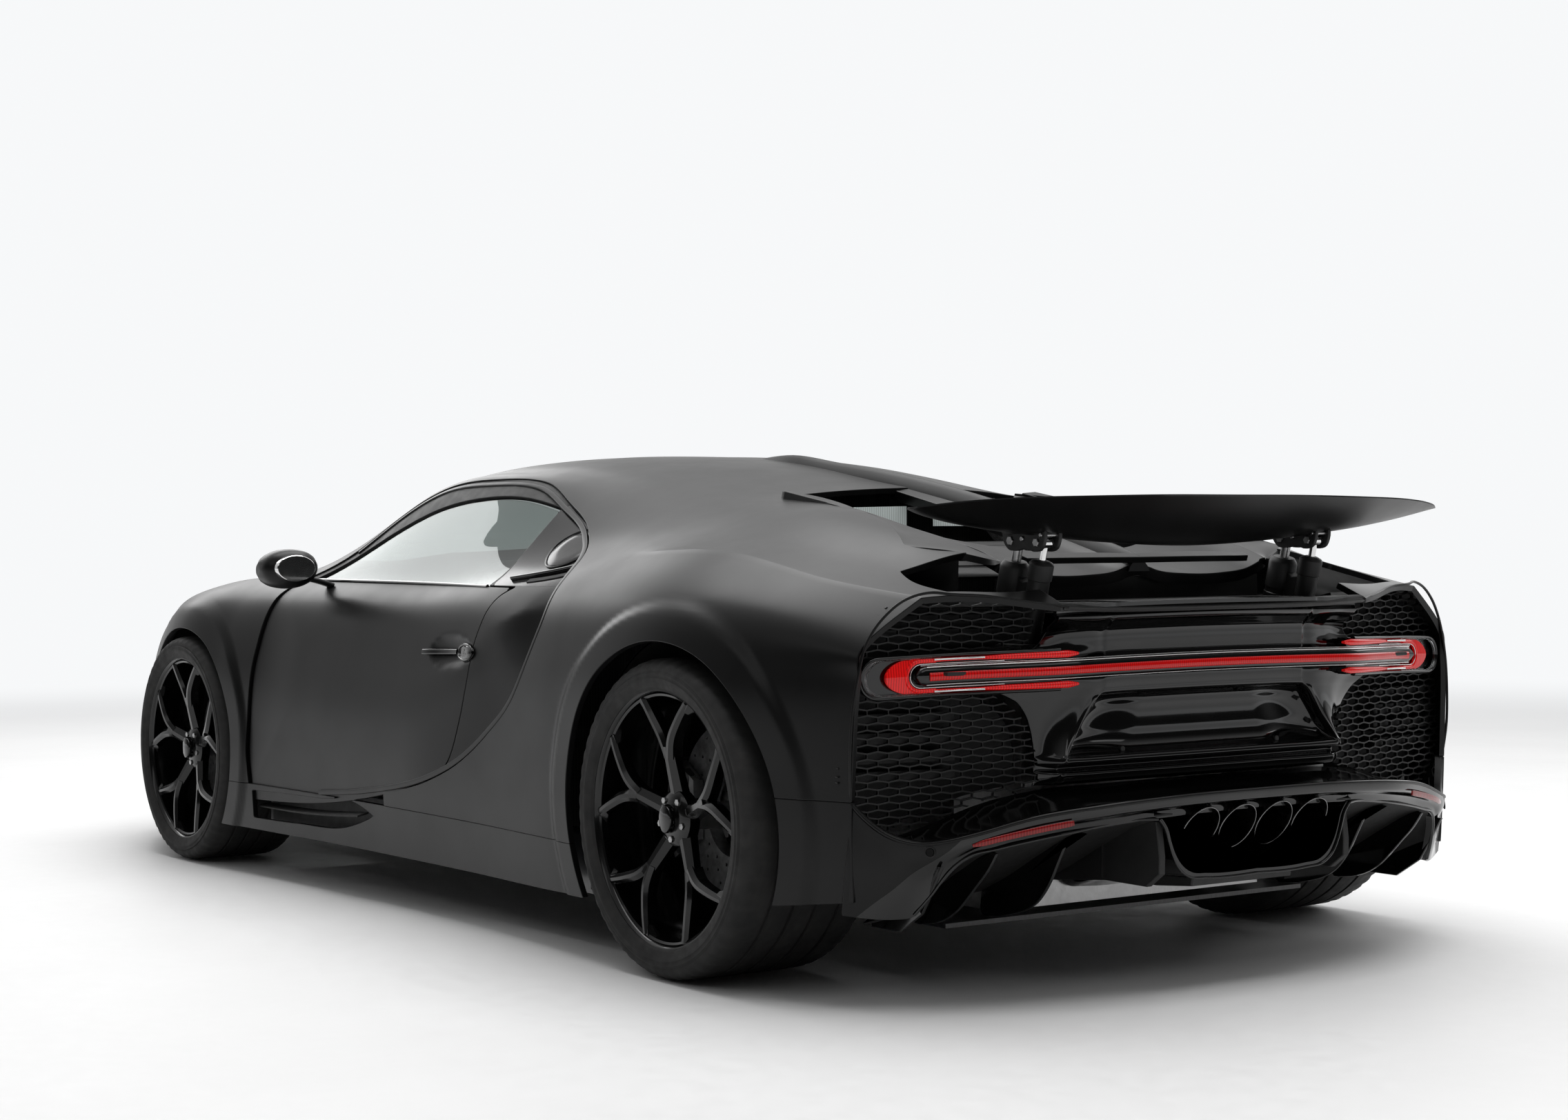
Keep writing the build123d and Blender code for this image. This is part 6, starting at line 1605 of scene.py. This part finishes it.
def wheel_spokes(centre, side, rim, face):
    """Five spokes, each forked halfway out into two arms, with a chamfered ridge along the top."""
    cx, cy, cz = centre
    reach = rim - 8

    def at(radius, angle, out):
        return (cx + radius * math.cos(angle), cy + side * out, cz + radius * math.sin(angle))

    def bar_section(width, depth):
        flank, crest = width / 2, width * 0.16
        return [(-flank, -depth), (flank, -depth), (flank, -width * 0.30), (crest, 0), (-crest, 0),
                (-flank, -width * 0.30)]

    parts = []
    for k in range(SPOKE_COUNT):
        middle = math.radians(90 + 360 * k / SPOKE_COUNT)
        stem = curve([at(34, middle, face - 34), at(rim * 0.30, middle, face - 24),
                      at(rim * 0.56, middle, face - 9)], 10)
        parts.append(sweep(stem, bar_section(40, 30), (0, side, 0), size=np.linspace(1.1, 0.86, len(stem))))
        for turn in (-1, 1):
            arm = curve([at(rim * 0.47, middle + turn * 0.02, face - 14),
                         at(rim * 0.62, middle + turn * 0.10, face - 7),
                         at(rim * 0.80, middle + turn * 0.235, face - 3),
                         at(reach, middle + turn * 0.335, face - 3)], 8)
            parts.append(sweep(arm, bar_section(27, 34), (0, side, 0), size=np.linspace(1.0, 0.82, len(arm))))
            fillet = curve([at(reach - 22, middle + turn * 0.32, face - 8),
                            at(reach + 2, middle + turn * 0.345, face - 6)], 8)
            parts.append(sweep(fillet, bar_section(46, 22), (0, side, 0), size=(0.5, 1.0, 1.15)[:len(fillet)]
                               if len(fillet) <= 3 else np.linspace(0.5, 1.15, len(fillet))))
    hub = [(0.5, face - 62), (62, face - 62), (62, face - 36), (52, face - 28), (30, face - 24),
           (0.5, face - 24)]
    parts.append(lathe(hub, 60, centre, side))
    return several(*parts)


def hub_details(centre, side, face):
    """Bare oval cap on the hub and the wheel bolts round it."""
    cx, cy, cz = centre
    ring = np.array(circle(1, 40))
    rows = ((face - 26, 25, 32), (face - 12, 25, 32), (face - 8, 23, 30), (face - 6, 18, 24))
    cap = tube([np.c_[cx + ring[:, 0] * a, np.full(40, cy + side * out), cz + ring[:, 1] * b] for out, a,
                b in rows])
    bolts = []
    for k in range(SPOKE_COUNT):
        a = math.radians(126 + 72 * k)
        x, z = cx + 46 * math.cos(a), cz + 46 * math.sin(a)
        bolts.append(rod((x, cy + side * (face - 34), z), (x, cy + side * (face - 22), z), 8, 6))
    return cap, several(*bolts)


def drilled_disc(centre, side, offset, radius=205.0, inner=98.0):
    """Outboard face and rim of the brake disc, with spiral rows of holes."""
    cx, cy, cz = centre
    radii, angles = np.linspace(inner, radius, 24), np.linspace(0, 2 * math.pi, 241)
    r, a = np.meshgrid(radii, angles, indexing="ij")
    grid = np.stack([cx + r * np.cos(a), np.full(r.shape, cy + side * (19 - offset)), cz + r * np.sin(a)],
                    axis=2)
    holes = np.array([(cx + q * math.cos(t), cz + q * math.sin(t)) for k in range(18)
                      for q, t in ((118 + 24 * j, math.radians(20 * k + 7 * j)) for j in range(4))])

    def clear_of_holes(v):
        return np.hypot(v[:, None, 0] - holes[None, :, 0], v[:, None, 2] - holes[None, :, 1]).min(1) - 4.2
    mesh = grid_mesh(grid, flip=side < 0)
    mesh = clip(mesh, clear_of_holes)
    if mesh[1][:, 1].mean() * side < 0:
        mesh = mesh[0], -mesh[1], mesh[2][:, ::-1]
    return shell(mesh, 34, 0.5)


def caliper(centre, side, offset, where, pistons):
    """Brake caliper over the disc's edge: body arc, bridge and bolts."""
    cx, cy, cz = centre
    span = np.radians(np.linspace(where - 31, where + 31, 22))

    def arc(radius, out):
        return np.stack([cx + radius * np.cos(span), np.full(22, cy + side * out),
                         cz + radius * np.sin(span)], 1)
    swell = 1 - 0.25 * np.abs(np.linspace(-1, 1, 22)) ** 4
    outwards = (math.cos(math.radians(where)), 0, math.sin(math.radians(where)))
    parts = [sweep(arc(178, 40 - offset), box_section(26, 78, 9), outwards, size=swell),
             sweep(arc(214, -offset), box_section(96, 14, 5), outwards, size=swell)]
    dots = []
    for k in range(pistons):
        a = math.radians(where - 22 + 44 * k / (pistons - 1))
        x, z = cx + 186 * math.cos(a), cz + 186 * math.sin(a)
        parts.append(rod((x, cy + side * (40 - offset), z), (x, cy + side * (57 - offset), z), 13, 20, 3))
        x, z = cx + 158 * math.cos(a), cz + 158 * math.sin(a)
        dots.append(rod((x, cy + side * (50 - offset), z), (x, cy + side * (58 - offset), z), 6, 12, 1))
    return several(*parts), several(*dots)


# axle, x, centre y, tyre radius, tyre width, rim radius, inset of the spokes' face, caliper angle
WHEELS = (("front", FRONT_X, 874.5, 339.5, 285.0, 270.0, 14.0, 0.0),
          ("rear", REAR_X, 833.0, 355.5, 355.0, 282.0, 14.0, 180.0))
DISC_OFFSET = 40.0
for axle, x, centre_y, radius, width, rim, inset, caliper_at in WHEELS:
    for side, word in ((LEFT, "left"), (RIGHT, "right")):
        centre = (x, side * centre_y, radius)
        body = f"wheel_{axle}_{word}"
        face = width / 2 - inset
        add_solid(f"tyre_{axle}_{word}_rubber", lathe(tyre_profile(radius, width, rim), TYRE_SIDES, centre,
                                                      side, shoulder_blocks),
                  rubber, body, [f"tyre_{axle}_{word}"], sharp=40)
        barrel = lathe(rim_profile(face, rim), RIM_SIDES, centre, side)
        add_solid(f"rim_{axle}_{word}_alloy", several(barrel, wheel_spokes(centre, side, rim, face)),
                  rim_black, body, [f"rim_{axle}_{word}"], sharp=30)
        cap, bolts = hub_details(centre, side, face)
        add_solid(f"hub_cap_{axle}_{word}", cap, gloss_black, body)
        add_solid(f"hub_bolts_{axle}_{word}", bolts, steel, body)
        add_mesh(f"disc_{axle}_{word}", drilled_disc(centre, side, DISC_OFFSET), brake_disc, body)
        holder = f"steer_{word}" if axle == "front" else "chassis"
        shoe, dots = caliper(centre, side, DISC_OFFSET, caliper_at, 4)
        add_solid(f"caliper_{axle}_{word}", shoe, caliper_black, holder)
        add_solid(f"caliper_bolts_{axle}_{word}", dots, steel, holder)

# ---- Nose ----------------------------------------------------------------------------------------
nose_half = clip(outer_skin, ahead, beyond(BONNET, "xy", GAP), front_arch)
edge_row = outer_grid[0][: int(0.92 * len(SKIN_S))]
pick = edge_row[np.linspace(0, len(edge_row) - 1, 12).astype(int)]
# Rows of the nose's face: share of the way down, distance ahead of the skin's front edge
NOSE_STEPS = ((0, 0), (0.06, 20), (0.30, 34), (0.62, 38), (1.0, 24))
NOSE_FOOT_Z = 150.0
face_rows = []
for share, out in NOSE_STEPS:
    way = unit(np.stack([np.full(len(pick), -1.0), 0.55 * pick[:, 1] / 900, np.zeros(len(pick))], 1))
    row = pick + way * out
    row[:, 2] = pick[:, 2] + (NOSE_FOOT_Z - pick[:, 2]) * share
    face_rows.append(row)
nose_face = patch(face_rows, (60, 60), (-1, 0, 0))
GRILLE = outline(((-205, 560), (-225, 420), (-190, 235), (-120, 200), (0, 192)),
                 ((0, 192), (60, 192), (60, 585), (0, 585)), ((0, 585), (-120, 580), (-205, 560)))
SIDE_INTAKE = outline(((-330, 330), (-560, 345), (-770, 400), (-800, 330), (-740, 215), (-400, 190),
                       (-320, 230)),
                      ((-320, 230), (-330, 330)))
LAMP = outline(((-420, 505), (-640, 500), (-800, 470)), ((-800, 470), (-800, 430), (-620, 440), (-415, 452)),
               ((-415, 452), (-420, 505)))
openings = [beyond(shape, "yz", 0) for shape in (GRILLE, SIDE_INTAKE, LAMP)]
panel("nose_skin", nose_half, replaces=["front_bumper"])
panel("nose_face", clip(nose_face, *openings), depth=20.0, radius=3.0)


def recessed(name, shapes, depth, material, slot, nodes=()):
    """What lies behind the nose's openings."""
    parts = [clip(nose_face, within(shape, "yz", -16)) for shape in shapes]
    back = joined(*[(v + (depth, 0, 0), n, t) for v, n, t in parts], weld=False)
    panel(name, back, material, slot=slot, depth=3.0, radius=0.5, replaces=nodes)


recessed("nose_openings", (GRILLE, SIDE_INTAKE), 34, dark_plastic, "satin_black")
recessed("lamp_reflectors", (LAMP,), 16, lamp_white, "lamp_lens")
panel("headlamp_lenses", clip(nose_face, within(LAMP, "yz", 1)), clear_lens, slot="lamp_lens", depth=4.0,
      radius=0.5, replaces=["headlamps"], back=True)
face_points = nose_face[0]


def nose_surface(u, v):
    """The nose's face at |y| u and height v."""
    out = np.empty((len(u), 3))
    for i in range(len(u)):
        away = (np.abs(face_points[:, 1]) - abs(u[i]))**2 + (face_points[:, 2] - v[i])**2
        near = face_points[np.argpartition(away, 4)[:4]]
        out[i] = (near[:, 0].mean() + 9, -u[i], v[i])
    return out


NOSE_NET = (46.0, 16.0, 3.0)    # cell's width, row height, bar
nets = [net_on(width, height, *NOSE_NET, low, [(-y, z) for y, z in border], nose_surface, depth=8.0,
               facing=(-1, 0, 0))
        for width, height, low, border in ((240, 400, (0, 190), GRILLE[::6]),
                                           (500, 230, (310, 186), SIDE_INTAKE[::4]))]
net = joined(*nets, weld=False)
add_mesh("nose_netting", joined(net, mirrored(net), weld=False), mesh_black, "chassis",
         ["front_grilles"])
DAYLIGHT_Y, DAYLIGHT_Z = np.linspace(430, 780, 12), (462, 480)
lamp_bars = [sweep(curve(nose_surface(DAYLIGHT_Y, np.full(12, z)) + (4, 0, 0), 14), box_section(5, 4, 1.5))
             for z in DAYLIGHT_Z]
add_solid("daylight_strips", both_sides(*lamp_bars), lamp_white)
lip_line = [row * (1, 1, 0) + (-8, 0, 146) for row in face_rows[-1]]
add_solid("splitter", sweep(whole(curve(lip_line[::-1], 16)), box_section(44, 12, 4)), carbon,
          sharp=50)

# Liners over the tyres: inner |y|, and the gap to the arch's lip, which clears the steered tyres
for name, (x, z, lip), reach, gap in (("front", ARCHES[0], 620, 44), ("rear", ARCHES[1], 600, 16)):
    radius = lip + gap
    inside = []
    for a in np.radians(np.linspace(12, 168, 44)):
        inside.append([(x + radius * math.cos(a), -y, z + radius * math.sin(a))
                       for y in (reach, 700, 800, 880, 930)])
    liner = patch(inside, (60, 8), (0, 0, -1))
    panel(f"{name}_wheel_liners", liner, dark_plastic, slot="satin_black", depth=-3.0, radius=0.2)

# ---- Cabin ---------------------------------------------------------------------------------------
def cushion(centre, half, tilt=0.0, power=3.6, count=(22, 30)):
    """A soft rounded block: centre, half sizes, lean about y in degrees."""
    u = np.linspace(-math.pi / 2, math.pi / 2, count[0])[:, None]
    v = np.linspace(0, 2 * math.pi, count[1], endpoint=False)[None]

    def bow(w):
        return np.sign(w) * np.abs(w) ** (2 / power)
    x = half[0] * bow(np.cos(u)) * bow(np.cos(v))
    y = half[1] * bow(np.cos(u)) * bow(np.sin(v))
    z = half[2] * bow(np.sin(u)) * np.ones_like(v)
    a = math.radians(tilt)
    rings = np.stack([centre[0] + x * math.cos(a) + z * math.sin(a), centre[1] + y,
                      centre[2] - x * math.sin(a) + z * math.cos(a)], -1)
    return tube(rings[1:-1])


# Half the tunnel between the seats, a seat's shift outwards, and its bolsters' distance from its middle
TUNNEL_HALF, SEAT_SHIFT, BOLSTER_OUT = 90, 20, 172
seat_low, seat_high = (np.array(corner) * 1000 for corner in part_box("seats"))
seat_parts = []
mid_y = (abs(seat_low[1]) + TUNNEL_HALF) / 2 + SEAT_SHIFT
length = seat_high[0] - seat_low[0]
height = seat_high[2] - seat_low[2]
base_z, front_x, back_x = seat_low[2], seat_low[0], seat_high[0]
for side in (LEFT, RIGHT):
    y = side * mid_y
    seat_parts.append(cushion((front_x + length * 0.36, y, base_z + 95), (length * 0.33, 150, 52), -6))
    seat_parts.append(cushion((back_x - length * 0.22, y, base_z + height * 0.52), (48, 148, height * 0.40),
                              20))
    seat_parts.append(cushion((back_x - length * 0.12, y, base_z + height * 0.90), (36, 100, height * 0.085),
                              20))
    for edge_side in (LEFT, RIGHT):
        w = y + edge_side * BOLSTER_OUT
        seat_parts.append(cushion((front_x + length * 0.36, w, base_z + 118), (length * 0.33, 34, 62), -6))
        seat_parts.append(cushion((back_x - length * 0.24, w, base_z + height * 0.50),
                                  (66, 34, height * 0.33), 20))
seats = several(*seat_parts)
verts = np.clip(seats[0], seat_low + 1, seat_high - 1)
seat_piece = add_solid("seat_cushions", (verts, None, seats[2]), leather, replaces=["seats"],
                       sharp=60)

# ---- Procedural finishes for what stays from the CAD model ---------------------------------------
FINISH = {"body_black": body_black, "gloss_black": gloss_black, "carbon": carbon, "satin_black": satin_black,
          "mesh": mesh_black, "glass": side_glass, "lamp_lens": clear_lens, "red_lamp": red_lens,
          "steel": steel, "aluminium": aluminium, "chrome": chrome, "exhaust_steel": exhaust_steel,
          "tyre": rubber, "rim": rim_black, "leather": leather}
for part in frame["record"]["subparts"]:
    node = frame["nodes"][part["node"]]
    node.data.materials.clear()
    node.data.materials.append(FINISH[part["material_slot"]])


# ---- Stage, lights and camera --------------------------------------------------------------------
def basis(azimuth, elevation, roll):
    """Right, up and backward directions of a camera."""
    a, e, r = (math.radians(v) for v in (azimuth, elevation, roll))
    back = Vector((math.sin(a) * math.cos(e), -math.cos(a) * math.cos(e), math.sin(e)))
    right = (-back).cross(Vector((0, 0, 1))).normalized()
    up = right.cross(-back)
    return (math.cos(r) * right + math.sin(r) * up, math.cos(r) * up - math.sin(r) * right, back)


IMAGE_WIDTH = 2273
FOCAL_PIXELS = 3832.4
SENSOR = 36.0
CAMERA_ANGLES = (55.19, 0.62, -0.33)        # azimuth, elevation, roll
CAMERA_AT = (6.3275, -4.0760, 0.9847)
cam_data = bpy.data.cameras.new("camera")
cam_data.sensor_width = SENSOR
cam_data.lens = FOCAL_PIXELS / IMAGE_WIDTH * SENSOR
cam_data.clip_end = 200
camera = bpy.data.objects.new("camera", cam_data)
right, up, back = basis(*CAMERA_ANGLES)
camera.matrix_world = Matrix([(*row, at) for *row, at in zip(right, up, back, CAMERA_AT)] + [(0, 0, 0, 1)])
bpy.context.scene.collection.objects.link(camera)
bpy.context.scene.camera = camera


def softbox(name, place, target, size, power):
    lamp = bpy.data.lights.new(name, "AREA")
    lamp.shape = "RECTANGLE"
    lamp.size, lamp.size_y = size
    lamp.energy = power
    holder = bpy.data.objects.new(name, lamp)
    holder.location = place
    holder.rotation_euler = (Vector(target) - Vector(place)).to_track_quat("-Z", "Y").to_euler()
    bpy.context.scene.collection.objects.link(holder)


softbox("softbox_top", (0.2, 0.3, 6.0), (0.2, 0, 0), (9.0, 5.0), 400)
softbox("softbox_left", (1.5, -6.5, 4.6), (0.4, 0, 0.5), (7.0, 1.6), 22)
softbox("softbox_rear", (7.5, 1.5, 4.6), (1.0, 0, 0.5), (4.5, 1.6), 26)
softbox("softbox_front", (-7.0, 0.5, 3.6), (-1.0, 0, 0.5), (5.0, 2.4), 90)
softbox("softbox_right", (0.5, 6.5, 3.4), (0.2, 0, 0.5), (7.0, 2.4), 90)

floor_data = bpy.data.meshes.new("floor")
floor_data.from_pydata([(-30, -30, 0), (30, -30, 0), (30, 30, 0), (-30, 30, 0)], [], [(0, 1, 2, 3)])
floor_data.materials.append(floor_material())
floor = bpy.data.objects.new("floor", floor_data)
bpy.context.scene.collection.objects.link(floor)
world_light()
bpy.context.scene.view_settings.view_transform = "Standard"
